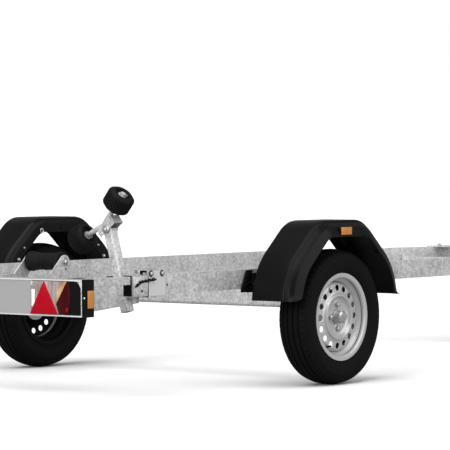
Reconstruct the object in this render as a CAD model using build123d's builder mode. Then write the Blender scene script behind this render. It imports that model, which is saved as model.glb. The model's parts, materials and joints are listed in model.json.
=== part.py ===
"""Single-axle boat trailer: box rails that toe in to a drawbar, torsion axle, rollers and a pull-out light board.

Frame: +X forward to the coupling, +Y left, +Z up, millimetres. The ground is Z = 0 and X = 0 is the middle of
the overall length. Sizes named *_x are measured from the wheels' axis unless they start with axle_x.
"""

import os
from math import cos, radians, sin, tan

from build123d import *

os.makedirs("parts", exist_ok=True)

# ---------------------------------------------------------------- overall
wheel_track = 1628  # between the two wheels' centre planes
nose_reach = 3950  # wheels' axis to the coupling's nose
tail_reach = 1535  # wheels' axis to the light board's rear face
axle_x = (tail_reach - nose_reach) / 2
running_gap = 0.3  # between a pin or shaft and what turns on it
side_play = 6  # beside a wheel or roller in its fork or bracket
sides = (("right", -1), ("left", 1))

# ---------------------------------------------------------------- main frame
rail_w = 40
rail_h = 80
rail_wall = 3
rail_corner = 6
rail_top = 485
rail_inset = 186  # from a wheel's centre plane to its rail's centre line
rail_y = wheel_track / 2 - rail_inset  # centre line of each rail behind the bend
rail_tail_x = -1074
bend_setback = 2500  # this and the other setbacks are from the coupling's nose
rail_bend_x = nose_reach - bend_setback
toe_in = 17.5  # degrees, ahead of the bend
drawbar_w = 70
drawbar_wall = 4
drawbar_nose_gap = 190  # coupling's nose to the end of the drawbar
front_member_setback = 1700  # to its rear face
front_member_x = nose_reach - front_member_setback
front_member_depth = 40
front_member_h = 60
front_member_drop = 45  # its top below the rails' tops
plate_t = 6
deck_plate_setback = 1500
deck_plate_x = nose_reach - deck_plate_setback
deck_plate_length = 120
joint_plate_tail_setback = 800
joint_plate_tail_x = nose_reach - joint_plate_tail_setback
joint_plate_nose_setback = 470
joint_plate_nose_x = nose_reach - joint_plate_nose_setback

# ---------------------------------------------------------------- rear cross beam and its collars
beam_x = -1000
beam_depth = 40
beam_h = 80
beam_low = 323  # underside of the flat middle
beam_flat_half = 310
beam_rise = 51  # of each wing at its outer end
collar_t = 4
collar_front_x = -980
cheek_front_x = -870  # front end of the flat plate on the rail's outer face
cheek_t = 5
cheek_low = 392
cheek_rise = 15  # of the cheek above the rail's top
guide_flange = 4
guide_depth = 40
guide_play = 0.5

# ---------------------------------------------------------------- wheels
wheel_radius = 281
tyre_w = 150
tread_drop = 13  # of the tread at its shoulders
carcass_t = 11
bulge_radius = 226
bead_w = 11
bead_radius = 165.1
flange_radius = 182
foot_radius = 184  # where the tyre's wall leaves its bead
rim_half = 62
rim_t = 4
rim_seat = 28  # inboard edge of the rim to the top of its drop
rim_drop = 40  # inboard edge of the rim to the foot of its drop
rim_rise = 8  # from the disc's seat inboard to the foot of the outer wall
rim_top = 4  # from the disc's seat outboard to the top of that wall
rim_fold = 2  # shift of the rim's inner skin along its slopes
well_radius = 150
disc_t = 4
disc_offset = 30  # wheel centre plane to the disc's inner seat
disc_bore = 28.5
disc_face = (  # outboard of the disc's seat, radius
    (-6, 146),
    (4, 128),
    (6, 110),
    (16, 92),
    (14, 80),
    (4, 70),
    (4, disc_bore),
)
vent_count = 16
vent_radius = 12.5
vent_circle = 120
vent_cut = 40
hub_flange_radius = 70
hub_flange_t = 10
hub_barrel_radius = 36
hub_inboard = 88  # wheel centre plane to the hub's inner end
cap_radius = 26
cap_reach = 70
cap_edge_run = 6
cap_edge_rise = 8
stub_radius = 15
stub_reach = 12  # wheel centre plane to the stub's outer end

# ---------------------------------------------------------------- torsion axle
beam_axle_x = 150
axle_size = 80
axle_wall = 5
axle_corner = 14
axle_z = 342
arm_t = 30
arm_eye = 38
arm_root = 44
saddle_w = 50
saddle_top_half = 75
saddle_wall = 10
saddle_drop = 34

# ---------------------------------------------------------------- fenders
fender_x = 12
fender_inner_y = 685
fender_crown_y = 860  # outboard edge of the broad crown
fender_step_y = 891  # outboard edge of the step below the crown
fender_outer_y = 908  # free edge of the leaning lip
fender_step = 28  # drop from the crown to the lip
fender_band = 67  # from the crown's outline to the arched openings
fender_wall = 4
fender_top = 681
fender_low = 360
fender_half = 395
fender_flat_half = 104
fender_slope = 41  # degrees, between the crown's two curves
fender_crown_radius = 148
fender_foot_radius = 290
fender_skirt = 100  # extra outline below the lower edge, trimmed off
stay_x = 345  # fender middle to each stay
stay_w = 40
stay_t = 5
stay_z = 430
side_marker_w = 76
side_marker_h = 35
side_marker_t = 5
side_marker_corner = 4
side_marker_x = -11
side_marker_rise = 3  # up the lip from its middle

# ---------------------------------------------------------------- side supports
post_size = 40
post_wall = 3
post_x = beam_x - beam_depth / 2 - post_size / 2
post_foot_y = 597
post_foot_z = 342
pivot_y = 509
pivot_z = 661
pivot_pin_radius = 6
pivot_pin_end = 6  # of the pin, beyond the rocker on each side
pivot_head_radius = 10
rocker_tilt = 38.5  # degrees, outer roller high
rocker_bend = 12.5  # degrees, of each shaft above the rocker's own line
rocker_lift = 33  # pivot to the bend of the roller shafts
rocker_shift = 15  # that bend inboard of the pivot
rocker_out = 53  # pivot to the outer end of the rocker
rocker_in = 39
rocker_skirt = 7
rocker_roof = 30
rocker_wall = 4
rocker_play = 1.5
roller_reach = 122  # bend to the middle of each roller
side_roller_radius = 56
side_roller_edge_radius = 45
side_roller_w = 78
side_roller_flat = 52
roller_recess_radius = 33
roller_recess = 14
shaft_radius = 10
shaft_washer_radius = 16
shaft_washer_t = 4
shaft_washer_gap = 1

# ---------------------------------------------------------------- keel roller
keel_x = -846
keel_z = 520
keel_length = 176
keel_radius = 41
keel_waist = 35
keel_pin_radius = 8
keel_pin_end = 8  # of the pin, beyond each plate
keel_plate_t = 6
keel_plate_high = 470  # top of each plate over the beam
keel_arm_rear_x = -1000  # rear edge of each plate's rising arm, at its base
keel_eye = 28
keel_base_t = 6
keel_base_rear_x = -1018
keel_base_front_x = -895

# ---------------------------------------------------------------- light board
board_z = 351
board_h = 139
board_depth = 42
board_wall = 3
board_half = 792
board_cap_t = 22
lamp_outer_y = board_half - 4
lamp_inner_y = lamp_outer_y - 246
lamp_margin = 7
lamp_depth = 34
lamp_proud = 4
lamp_corner = 30
triangle_w = 140
triangle_t = 3
triangle_y = lamp_inner_y + 66
marker_w = board_depth - 2
marker_h = 70
marker_t = 4
arm_size = 32
arm_wall = 3
arm_front_x = 170
arm_roof_gap = 1
arm_plate_w = 80
arm_plate_t = 5

# ---------------------------------------------------------------- coupling
ball_bore = 25.2
ball_mouth = 16  # cylindrical wall below the ball's centre
head_radius = 36
head_root = 2  # length of the full-width root behind the head
channel_length = 130
channel_wall = 4
channel_drop = 62
handle_w = 30
handle_t = 8
handle_length = 170
handle_rise = 62

# ---------------------------------------------------------------- winch post, winch and bow stop
mast_setback = 900
post_mast_x = nose_reach - mast_setback
mast_size = 60
mast_wall = 3
mast_top = 930
foot_length = 160
foot_w = 130
foot_t = 8
foot_rod_radius = 6
foot_rod_x = 60
foot_rod_y = 46
stop_arm = 40
stop_arm_length = 70
stop_arm_z = 860
stop_w = 120
stop_h = 70
stop_depth = 60
stop_notch = 34
winch_base_t = 5
winch_length = 130
winch_half = 42
winch_play = 1
winch_side_t = 4
winch_side_h = 100
drum_z = 60  # above the winch base's top
drum_radius = 22
drum_flange_radius = 45
drum_flange_t = 3
winch_shaft_radius = 8
crank_y = 95
crank_length = 190
crank_w = 25
crank_t = 6
grip_radius = 14
grip_length = 110

# ---------------------------------------------------------------- jockey wheel
jockey_setback = 390
jockey_x = nose_reach - jockey_setback
jockey_tube_radius = 24
jockey_tube_wall = 2.5
jockey_tube_low = 390
jockey_tube_high = 720
clamp_h = 60
clamp_wall = 9
clamp_offset = 14  # drawbar side to the clamp ring
leg_wall = 2.5
leg_low = 236
leg_high = 560
fork_crown_t = 8
fork_plate_t = 4
fork_trail = 40
fork_stem = 40
jockey_wheel_radius = 100
jockey_wheel_w = 50
jockey_wheel_edge = 10
jockey_pin_radius = 7
jockey_pin_end = 5  # of the pin, beyond each fork plate
jockey_eye = 16
jockey_cap_t = 15
jockey_cap_rim = 2
jockey_crank_reach = 105
jockey_crank_radius = 6
jockey_grip_radius = 13
jockey_grip_length = 80

# ---------------------------------------------------------------- worked out from the sizes above
rail_low = rail_top - rail_h
rail_mid = rail_top - rail_h / 2
rail_out = rail_y + rail_w / 2
rail_in = rail_y - rail_w / 2
drawbar_half = drawbar_w / 2
drawbar_tail_x = front_member_x + front_member_depth
drawbar_nose_x = nose_reach - drawbar_nose_gap
wheel_y = wheel_track / 2
ball_x = axle_x + nose_reach - head_radius
ball_z = rail_mid
bend_shift = tan(radians(toe_in / 2))
toe_slope = tan(radians(toe_in))


def rail_line(x, reach):
    """Distance from the middle plane of a line that runs reach outboard of the rails' centre line."""
    corner = rail_bend_x + reach * bend_shift
    return rail_y + reach - max(0, x - corner) * toe_slope


def rail_plan(reach, side):
    """Plan outline of one rail, reach either side of its centre line, cut along the drawbar's side."""
    corners = []
    for edge in (reach, -reach):
        corner = rail_bend_x + edge * bend_shift
        end = corner + (rail_y + edge - drawbar_half) / toe_slope
        corners.append(((rail_tail_x, rail_y + edge), (corner, rail_y + edge), (end, drawbar_half)))
    outer, inner = corners
    return [(axle_x + x, side * y) for x, y in outer + inner[::-1]]


def box_section(wide, high, wall, corner):
    """Add a rounded rectangular hollow section to the sketch under way."""
    RectangleRounded(wide, high, corner)
    RectangleRounded(wide - 2 * wall, high - 2 * wall, max(corner - wall, 1), mode=Mode.SUBTRACT)


def cross_plane(x, y, z):
    """A plane whose normal is +X, with sketch x along Y and sketch y along Z."""
    return Plane(origin=(x, y, z), x_dir=(0, 1, 0), z_dir=(1, 0, 0))


def side_plane(x, y, z):
    """A plane whose normal is +Y, with sketch x along -X and sketch y along Z."""
    return Plane(origin=(x, y, z), x_dir=(-1, 0, 0), z_dir=(0, 1, 0))


def bar(start, end, radius, mode=Mode.ADD):
    """Add or cut a round bar from start to end."""
    along = Vector(*end) - Vector(*start)
    with Locations(Plane(origin=start, z_dir=along)):
        Cylinder(radius, along.length, align=(Align.CENTER, Align.CENTER, Align.MIN), mode=mode)


def save(piece, name):
    """Label a finished piece and write its STEP file."""
    piece.label = name
    export_step(piece, f"parts/{name}.step")


# ================================================================ main frame
for name, side in sides:
    with BuildPart() as rail:
        with BuildSketch(Plane.XY.offset(rail_low)):
            Polygon(*rail_plan(rail_w / 2, side), align=None)
        extrude(amount=rail_h)
        with BuildSketch(Plane.XY.offset(rail_low + rail_wall)):
            Polygon(*rail_plan(rail_w / 2 - rail_wall, side), align=None)
        extrude(amount=rail_h - 2 * rail_wall, mode=Mode.SUBTRACT)
    save(rail.part, f"rail_{name}")

with BuildPart() as drawbar:
    with BuildSketch(cross_plane(axle_x + drawbar_tail_x, 0, rail_mid)):
        box_section(drawbar_w, rail_h, drawbar_wall, rail_corner)
    extrude(amount=drawbar_nose_x - drawbar_tail_x)
save(drawbar.part, "drawbar")


def across_rails(rear_x, front_x, reach):
    """Plan outline that spans both rails between two stations."""
    rear_y = rail_line(rear_x, reach)
    front_y = max(rail_line(front_x, reach), drawbar_half)
    rear = axle_x + rear_x
    front = axle_x + front_x
    return [(rear, -rear_y), (rear, rear_y), (front, front_y), (front, -front_y)]


with BuildPart() as front_member:
    with BuildSketch(Plane.XY.offset(rail_top - front_member_drop - front_member_h)):
        Polygon(*across_rails(front_member_x, drawbar_tail_x, -rail_w / 2), align=None)
    extrude(amount=front_member_h)
    middle_x = front_member_x + front_member_depth / 2
    with BuildSketch(side_plane(axle_x + middle_x, 0, rail_top - front_member_drop - front_member_h / 2)):
        Rectangle(front_member_depth - 2 * rail_wall, front_member_h - 2 * rail_wall)
    extrude(amount=rail_in, both=True, mode=Mode.SUBTRACT)
save(front_member.part, "front_cross_member")

with BuildPart() as deck_plate:
    with BuildSketch(Plane.XY.offset(rail_top)):
        Polygon(*across_rails(deck_plate_x, deck_plate_x + deck_plate_length, rail_w / 2), align=None)
    extrude(amount=plate_t)
save(deck_plate.part, "front_cross_plate")

rails_meet_x = rail_bend_x + rail_w / 2 * bend_shift + (rail_out - drawbar_half) / toe_slope
joint_rear_y = rail_line(joint_plate_tail_x, rail_w / 2)
with BuildPart() as joint_plates:
    for level in (rail_top, rail_low - plate_t):
        with BuildSketch(Plane.XY.offset(level)):
            with BuildLine():
                Polyline(
                    (axle_x + joint_plate_tail_x, -joint_rear_y),
                    (axle_x + joint_plate_tail_x, joint_rear_y),
                    (axle_x + rails_meet_x, drawbar_half),
                    (axle_x + joint_plate_nose_x, drawbar_half),
                    (axle_x + joint_plate_nose_x, -drawbar_half),
                    (axle_x + rails_meet_x, -drawbar_half),
                    close=True,
                )
            make_face()
        extrude(amount=plate_t)
save(joint_plates.part, "drawbar_joint_plates")

# ================================================================ rear cross beam, collars and guides
collar_y = rail_in - collar_t
beam_high = beam_low + beam_h
with BuildPart() as cross_beam:
    with BuildSketch(cross_plane(axle_x + beam_x - beam_depth / 2, 0, 0)):
        Polygon(
            (-collar_y, beam_low + beam_rise),
            (-beam_flat_half, beam_low),
            (beam_flat_half, beam_low),
            (collar_y, beam_low + beam_rise),
            (collar_y, beam_high + beam_rise),
            (beam_flat_half, beam_high),
            (-beam_flat_half, beam_high),
            (-collar_y, beam_high + beam_rise),
            align=None,
        )
    extrude(amount=beam_depth)
    with BuildSketch(cross_plane(axle_x + beam_x - beam_depth / 2 + rail_wall, 0, 0)):
        Polygon(
            (-collar_y, beam_low + beam_rise + rail_wall),
            (-beam_flat_half, beam_low + rail_wall),
            (beam_flat_half, beam_low + rail_wall),
            (collar_y, beam_low + beam_rise + rail_wall),
            (collar_y, beam_high + beam_rise - rail_wall),
            (beam_flat_half, beam_high - rail_wall),
            (-beam_flat_half, beam_high - rail_wall),
            (-collar_y, beam_high + beam_rise - rail_wall),
            align=None,
        )
    extrude(amount=beam_depth - 2 * rail_wall, mode=Mode.SUBTRACT)
save(cross_beam.part, "rear_cross_beam")

cheek_top = rail_top + cheek_rise
with BuildPart() as collars:
    for name, side in sides:
        with BuildSketch(cross_plane(axle_x + rail_tail_x, side * rail_y, rail_mid)):
            Rectangle(rail_w + 2 * collar_t, rail_h + 2 * collar_t)
            Rectangle(rail_w, rail_h, mode=Mode.SUBTRACT)
        extrude(amount=collar_front_x - rail_tail_x)
        with BuildSketch(cross_plane(axle_x + collar_front_x, 0, 0)):
            with Locations((side * (rail_out + cheek_t / 2), (cheek_top + cheek_low) / 2)):
                Rectangle(cheek_t, cheek_top - cheek_low)
        extrude(amount=cheek_front_x - collar_front_x)
save(collars.part, "rail_collars")

arm_z = rail_top - rail_wall - arm_roof_gap - arm_size / 2
with BuildPart() as guides:
    for name, side in sides:
        with BuildSketch(cross_plane(axle_x + rail_tail_x, side * rail_y, rail_mid)):
            Rectangle(rail_w - 2 * rail_wall, rail_h - 2 * rail_wall)
        extrude(amount=guide_depth)
        with BuildSketch(cross_plane(axle_x + rail_tail_x - guide_flange, side * rail_y, rail_mid)):
            Rectangle(rail_w, rail_h)
        extrude(amount=guide_flange)
        with BuildSketch(cross_plane(axle_x + rail_tail_x - guide_flange, side * rail_y, arm_z)):
            Rectangle(arm_size + 2 * guide_play, arm_size + 2 * guide_play)
        extrude(amount=guide_flange + guide_depth, mode=Mode.SUBTRACT)
save(guides.part, "rail_end_guides")

# ================================================================ axle
saddle_low = axle_z - saddle_drop / 2
with BuildPart() as axle_tube:
    with BuildSketch(side_plane(axle_x + beam_axle_x, -wheel_y + hub_inboard + side_play + arm_t, axle_z)):
        box_section(axle_size, axle_size, axle_wall, axle_corner)
    extrude(amount=2 * (wheel_y - hub_inboard - side_play - arm_t))
save(axle_tube.part, "axle_tube")

arm_out_y = wheel_y - hub_inboard - side_play
with BuildPart() as axle_arms:
    for name, side in sides:
        with BuildSketch(side_plane(axle_x, side * (arm_out_y - arm_t / 2), 0)):
            with Locations((-beam_axle_x, axle_z)):
                Circle(arm_root)
            with Locations((0, wheel_radius)):
                Circle(arm_eye)
            make_hull()
        extrude(amount=arm_t / 2, both=True)
        bar((axle_x, side * arm_out_y, wheel_radius), (axle_x, side * (wheel_y + stub_reach), wheel_radius), stub_radius)
save(axle_arms.part, "axle_arms")

with BuildPart() as saddles:
    for name, side in sides:
        with BuildSketch(side_plane(axle_x + beam_axle_x, side * rail_y, 0)):
            Polygon(
                (-saddle_top_half, rail_low),
                (saddle_top_half, rail_low),
                (axle_size / 2 + saddle_wall, saddle_low),
                (-axle_size / 2 - saddle_wall, saddle_low),
                align=None,
            )
            with Locations((0, axle_z)):
                Rectangle(axle_size, axle_size, mode=Mode.SUBTRACT)
        extrude(amount=saddle_w / 2, both=True)
save(saddles.part, "axle_saddles")

# ================================================================ wheels
for name, side in sides:
    spin = Axis((axle_x, 0, wheel_radius), (0, 1, 0))

    def at(offset, radius):
        """Sketch point at an outboard offset from the wheel's centre plane and a radius."""
        return (side * (wheel_y + offset), wheel_radius + radius)

    bead = bead_radius + running_gap
    lip = rim_half - rim_t - running_gap
    half = tyre_w / 2
    shoulder = half - tread_drop
    tread_edge = wheel_radius - tread_drop
    tread_floor = tread_edge - carcass_t
    with BuildPart() as tyre:
        with BuildSketch(Plane.YZ.offset(axle_x)):
            with BuildLine():
                for out in (-1, 1):
                    Polyline(
                        at(out * (lip - bead_w), foot_radius),
                        at(out * (lip - bead_w), bead),
                        at(out * lip, bead),
                        at(out * lip, foot_radius),
                    )
                    ThreePointArc(
                        at(out * lip, foot_radius),
                        at(out * half, bulge_radius),
                        at(out * shoulder, tread_edge),
                    )
                    ThreePointArc(
                        at(out * (lip - bead_w), foot_radius),
                        at(out * (half - carcass_t), bulge_radius),
                        at(out * (shoulder - carcass_t), tread_floor),
                    )
                ThreePointArc(at(-shoulder, tread_edge), at(0, wheel_radius), at(shoulder, tread_edge))
                Line(at(shoulder - carcass_t, tread_floor), at(-shoulder + carcass_t, tread_floor))
            make_face()
        revolve(axis=spin)
    save(tyre.part, f"tyre_{name}")

    with BuildPart() as wheel:
        with BuildSketch(Plane.YZ.offset(axle_x)):
            with BuildLine():
                Polyline(
                    at(-rim_half, flange_radius),
                    at(-rim_half + rim_t, bead_radius),
                    at(-rim_half + rim_seat, bead_radius),
                    at(-rim_half + rim_drop, well_radius),
                    at(disc_offset - rim_rise, well_radius),
                    at(disc_offset + rim_top, bead_radius),
                    at(rim_half - rim_t, bead_radius),
                    at(rim_half - rim_t, flange_radius),
                    at(rim_half, flange_radius),
                    at(rim_half, bead_radius - rim_t),
                    at(disc_offset + rim_top + rim_fold, bead_radius - rim_t),
                    at(disc_offset - rim_rise + rim_fold, well_radius - rim_t),
                    at(-rim_half + rim_drop - rim_fold, well_radius - rim_t),
                    at(-rim_half + rim_seat - rim_fold, bead_radius - rim_t),
                    at(-rim_half, bead_radius - rim_t),
                    close=True,
                )
            make_face()
        revolve(axis=spin)
        outer_face = [at(disc_offset + out, radius) for out, radius in disc_face]
        inner_face = [at(disc_offset + out - disc_t, radius) for out, radius in disc_face]
        with BuildSketch(Plane.YZ.offset(axle_x)):
            with BuildLine():
                Polyline(*outer_face, *inner_face[::-1], close=True)
            make_face()
        revolve(axis=spin)
        with Locations(side_plane(axle_x, side * (wheel_y + disc_offset), wheel_radius)):
            with PolarLocations(vent_circle, vent_count):
                Cylinder(vent_radius, vent_cut, mode=Mode.SUBTRACT)
    save(wheel.part, f"wheel_{name}")

    with BuildPart() as hub:
        with BuildSketch(Plane.YZ.offset(axle_x)):
            with BuildLine():
                Polyline(
                    at(-hub_inboard, stub_radius + running_gap),
                    at(-hub_inboard, hub_barrel_radius),
                    at(disc_offset - hub_flange_t, hub_barrel_radius),
                    at(disc_offset - hub_flange_t, hub_flange_radius),
                    at(disc_offset, hub_flange_radius),
                    at(disc_offset, disc_bore - running_gap),
                    at(disc_offset + 2 * disc_t, disc_bore - running_gap),
                    at(disc_offset + 2 * disc_t, cap_radius),
                    at(cap_reach - cap_edge_run, cap_radius),
                    at(cap_reach, cap_radius - cap_edge_rise),
                    at(cap_reach, 0),
                    at(stub_reach + running_gap, 0),
                    at(stub_reach + running_gap, stub_radius + running_gap),
                    close=True,
                )
            make_face()
        revolve(axis=spin)
    save(hub.part, f"hub_{name}")

# ================================================================ fenders
slope = radians(fender_slope)
slope_run = fender_half - fender_flat_half - fender_crown_radius * sin(slope) - fender_foot_radius * (1 - sin(slope))
with BuildSketch() as arch:
    with BuildLine():
        flat = Line((0, fender_top), (fender_flat_half, fender_top))
        shoulder = JernArc(flat @ 1, flat % 1, fender_crown_radius, -fender_slope)
        flank = PolarLine(shoulder @ 1, slope_run / cos(slope), direction=shoulder % 1)
        hip = JernArc(flank @ 1, flank % 1, fender_foot_radius, fender_slope - 90)
        Line(hip @ 1, (fender_half, fender_low - fender_skirt))
        Line((fender_half, fender_low - fender_skirt), (0, fender_low - fender_skirt))
        mirror(about=Plane.YZ)
    make_face()


def arch_at(y, inset):
    """The fender's side outline at a distance from the middle plane, moved inward."""
    with BuildSketch(side_plane(axle_x + fender_x, y, 0), mode=Mode.PRIVATE) as outline:
        add(arch.sketch)
        if inset:
            offset(amount=-inset)
    return outline.sketch


def fender_body(side, inset, mode):
    """Add or cut the fender's full depth, moved inward: the crown, the step and the leaning lip."""
    inner_y = fender_inner_y + inset
    stations = (
        (fender_crown_y, inset),
        (fender_step_y - inset, fender_step + inset),
        (fender_outer_y - inset, fender_band),
    )
    extrude(arch_at(side * inner_y, inset), amount=side * (fender_crown_y - inner_y), mode=mode)
    for start, end in zip(stations, stations[1:]):
        loft([arch_at(side * y, depth) for y, depth in (start, end)], mode=mode)


for name, side in sides:
    with BuildPart() as fender:
        fender_body(side, 0, Mode.ADD)
        fender_body(side, fender_wall, Mode.SUBTRACT)
        extrude(arch_at(0, fender_band), amount=side * fender_outer_y, mode=Mode.SUBTRACT)
        with BuildSketch(Plane.XY.offset(fender_low)):
            with Locations((axle_x + fender_x, 0)):
                Rectangle(4 * fender_half, 2 * fender_outer_y)
        extrude(amount=-fender_skirt, mode=Mode.SUBTRACT)
    save(fender.part, f"fender_{name}")

with BuildPart() as stays:
    for name, side in sides:
        for end in (-1, 1):
            with BuildSketch(cross_plane(axle_x + fender_x + end * stay_x - stay_w / 2, 0, stay_z)):
                Polygon(
                    (side * rail_out, -stay_w),
                    (side * (rail_out + stay_t), -stay_w),
                    (side * (rail_out + stay_t), 0),
                    (side * fender_inner_y, 0),
                    (side * fender_inner_y, stay_w),
                    (side * (fender_inner_y - stay_t), stay_w),
                    (side * (fender_inner_y - stay_t), stay_t),
                    (side * rail_out, stay_t),
                    align=None,
                )
            extrude(amount=stay_w)
save(stays.part, "fender_stays")

lip_lean = Vector(0, fender_outer_y - fender_step_y, fender_step - fender_band).normalized()
lip_y = (fender_step_y + fender_outer_y) / 2 - lip_lean.Y * side_marker_rise
lip_z = fender_top - (fender_step + fender_band) / 2 - lip_lean.Z * side_marker_rise
with BuildPart() as fender_reflectors:
    for name, side in sides:
        place = (axle_x + side_marker_x, side * lip_y, lip_z)
        with BuildSketch(Plane(origin=place, x_dir=(1, 0, 0), z_dir=(0, -side * lip_lean.Z, lip_lean.Y))):
            RectangleRounded(side_marker_w, side_marker_h, side_marker_corner)
        extrude(amount=side_marker_t)
save(fender_reflectors.part, "fender_reflectors")

# ================================================================ side supports
tilt = radians(rocker_tilt)
for name, side in sides:
    foot = Vector(axle_x + post_x, side * post_foot_y, post_foot_z)
    pivot = Vector(axle_x + post_x, side * pivot_y, pivot_z)
    up_post = (pivot - foot).normalized()
    ear_in = post_size / 2 + rocker_play
    ear_out = ear_in + rocker_wall
    pin_in = ear_out + running_gap
    pin_out = pin_in + pivot_pin_end
    with BuildPart() as post:
        with BuildSketch(Plane(origin=foot, x_dir=(1, 0, 0), z_dir=up_post)):
            box_section(post_size, post_size, post_wall, rail_corner)
        extrude(amount=(pivot - foot).length)
        for end in (-1, 1):
            ear = pivot + Vector(end * (post_size - post_wall) / 2, 0, 0)
            with BuildSketch(cross_plane(*ear)):
                Circle(post_size / 2)
            extrude(amount=post_wall / 2, both=True)
            bar(pivot + Vector(end * pin_in, 0, 0), pivot + Vector(end * pin_out, 0, 0), pivot_head_radius)
        bar(pivot - Vector(pin_out, 0, 0), pivot + Vector(pin_out, 0, 0), pivot_pin_radius)
    save(post.part, f"side_post_{name}")

    along = Vector(0, -side * cos(tilt), -sin(tilt))  # from the outer roller towards the inner one
    lift = Vector(0, -side * sin(tilt), cos(tilt))
    bend = pivot + along * rocker_shift + lift * rocker_lift
    rocker_face = Plane(origin=pivot, x_dir=along, z_dir=along.cross(lift))
    recess_floor = side_roller_w / 2 - roller_recess
    with BuildPart() as rocker:
        with BuildSketch(rocker_face):
            with Locations(((rocker_in - rocker_out) / 2, (rocker_roof - rocker_skirt) / 2)):
                Rectangle(rocker_in + rocker_out, rocker_roof + rocker_skirt)
        extrude(amount=ear_out, both=True)
        with BuildSketch(rocker_face):
            with Locations(((rocker_in - rocker_out) / 2 + rocker_wall, (rocker_roof - rocker_skirt) / 2 - rocker_wall)):
                Rectangle(rocker_in + rocker_out, rocker_roof + rocker_skirt)
        extrude(amount=ear_in, both=True, mode=Mode.SUBTRACT)
        bar(pivot - Vector(ear_out, 0, 0), pivot + Vector(ear_out, 0, 0), pivot_pin_radius + running_gap, Mode.SUBTRACT)
        for end in (-1, 1):
            arm = (along * end).rotate(Axis.X, -side * end * rocker_bend)
            bar(bend, bend + arm * (roller_reach + side_roller_w / 2), shaft_radius)
            for flank_side in (-1, 1):
                inner_end = bend + arm * (roller_reach + flank_side * (recess_floor + shaft_washer_gap))
                bar(inner_end, inner_end + arm * (flank_side * shaft_washer_t), shaft_washer_radius)
    save(rocker.part, f"rocker_{name}")

    for place, end in (("outer", -1), ("inner", 1)):
        arm = (along * end).rotate(Axis.X, -side * end * rocker_bend)
        centre = bend + arm * roller_reach
        with BuildPart() as roller:
            with BuildSketch(Plane(origin=centre, x_dir=arm, z_dir=(1, 0, 0))):
                with BuildLine():
                    Polyline(
                        (-recess_floor, shaft_radius + running_gap),
                        (-recess_floor, roller_recess_radius),
                        (-side_roller_w / 2, roller_recess_radius),
                        (-side_roller_w / 2, side_roller_edge_radius),
                        (-side_roller_flat / 2, side_roller_radius),
                        (side_roller_flat / 2, side_roller_radius),
                        (side_roller_w / 2, side_roller_edge_radius),
                        (side_roller_w / 2, roller_recess_radius),
                        (recess_floor, roller_recess_radius),
                        (recess_floor, shaft_radius + running_gap),
                        close=True,
                    )
                make_face()
            revolve(axis=Axis(centre, arm))
        save(roller.part, f"side_roller_{name}_{place}")

# ================================================================ keel roller
keel_in = keel_length / 2 + side_play
keel_base_length = keel_base_front_x - keel_base_rear_x
keel_base_middle = (keel_base_front_x + keel_base_rear_x) / 2
with BuildPart() as keel_bracket:
    for side in (-1, 1):
        with BuildSketch(side_plane(axle_x, side * (keel_in + keel_plate_t / 2), 0)):
            with Locations((-keel_x, keel_z)):
                Circle(keel_eye)
            with Locations((-(keel_arm_rear_x + keel_base_front_x) / 2, beam_high + keel_base_t / 2)):
                Rectangle(keel_base_front_x - keel_arm_rear_x, keel_base_t)
            make_hull()
            with Locations((-keel_base_middle, (beam_high + keel_plate_high) / 2)):
                Rectangle(keel_base_length, keel_plate_high - beam_high)
        extrude(amount=keel_plate_t / 2, both=True)
    with BuildSketch(Plane.XY.offset(beam_high)):
        with Locations((axle_x + keel_base_middle, 0)):
            Rectangle(keel_base_length, 2 * (keel_in + keel_plate_t))
    extrude(amount=keel_base_t)
    pin_end = keel_in + keel_plate_t + keel_pin_end
    bar((axle_x + keel_x, -pin_end, keel_z), (axle_x + keel_x, pin_end, keel_z), keel_pin_radius)
save(keel_bracket.part, "keel_roller_bracket")

with BuildPart() as keel_roller:
    with BuildSketch(Plane.YZ.offset(axle_x + keel_x)):
        with BuildLine():
            Polyline(
                (keel_length / 2, keel_z + keel_radius),
                (keel_length / 2, keel_z + keel_pin_radius + running_gap),
                (-keel_length / 2, keel_z + keel_pin_radius + running_gap),
                (-keel_length / 2, keel_z + keel_radius),
            )
            ThreePointArc(
                (-keel_length / 2, keel_z + keel_radius),
                (0, keel_z + keel_waist),
                (keel_length / 2, keel_z + keel_radius),
            )
        make_face()
    revolve(axis=Axis((axle_x + keel_x, 0, keel_z), (0, 1, 0)))
save(keel_roller.part, "keel_roller")

# ================================================================ light board
board_x = axle_x - tail_reach + triangle_t + lamp_proud
board_mid = board_z + board_h / 2
lamp_w = lamp_outer_y - lamp_inner_y
lamp_y = (lamp_outer_y + lamp_inner_y) / 2
lamp_h = board_h - 2 * lamp_margin
with BuildPart() as board:
    with BuildSketch(side_plane(board_x + board_depth / 2, -board_half, board_mid)):
        Rectangle(board_depth, board_h)
        with Locations((-board_wall, 0)):
            Rectangle(board_depth, board_h - 2 * board_wall, mode=Mode.SUBTRACT)
    extrude(amount=2 * board_half)
    with BuildSketch(cross_plane(board_x, 0, board_mid)):
        with Locations((-lamp_y, 0), (lamp_y, 0)):
            Rectangle(lamp_w, lamp_h)
    extrude(amount=board_wall, mode=Mode.SUBTRACT)
save(board.part, "light_board")

with BuildPart() as board_caps:
    for name, side in sides:
        with BuildSketch(side_plane(board_x + board_depth / 2, side * board_half, board_mid)):
            RectangleRounded(board_depth, board_h, board_wall)
        extrude(amount=side * board_cap_t)
save(board_caps.part, "light_board_caps")

with BuildPart() as board_reflectors:
    for name, side in sides:
        outer_y = side * (board_half + board_cap_t)
        with BuildSketch(side_plane(board_x + board_depth / 2, outer_y, board_mid)):
            RectangleRounded(marker_w, marker_h, marker_t)
        extrude(amount=side * marker_t)
save(board_reflectors.part, "light_board_side_reflectors")

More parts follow.
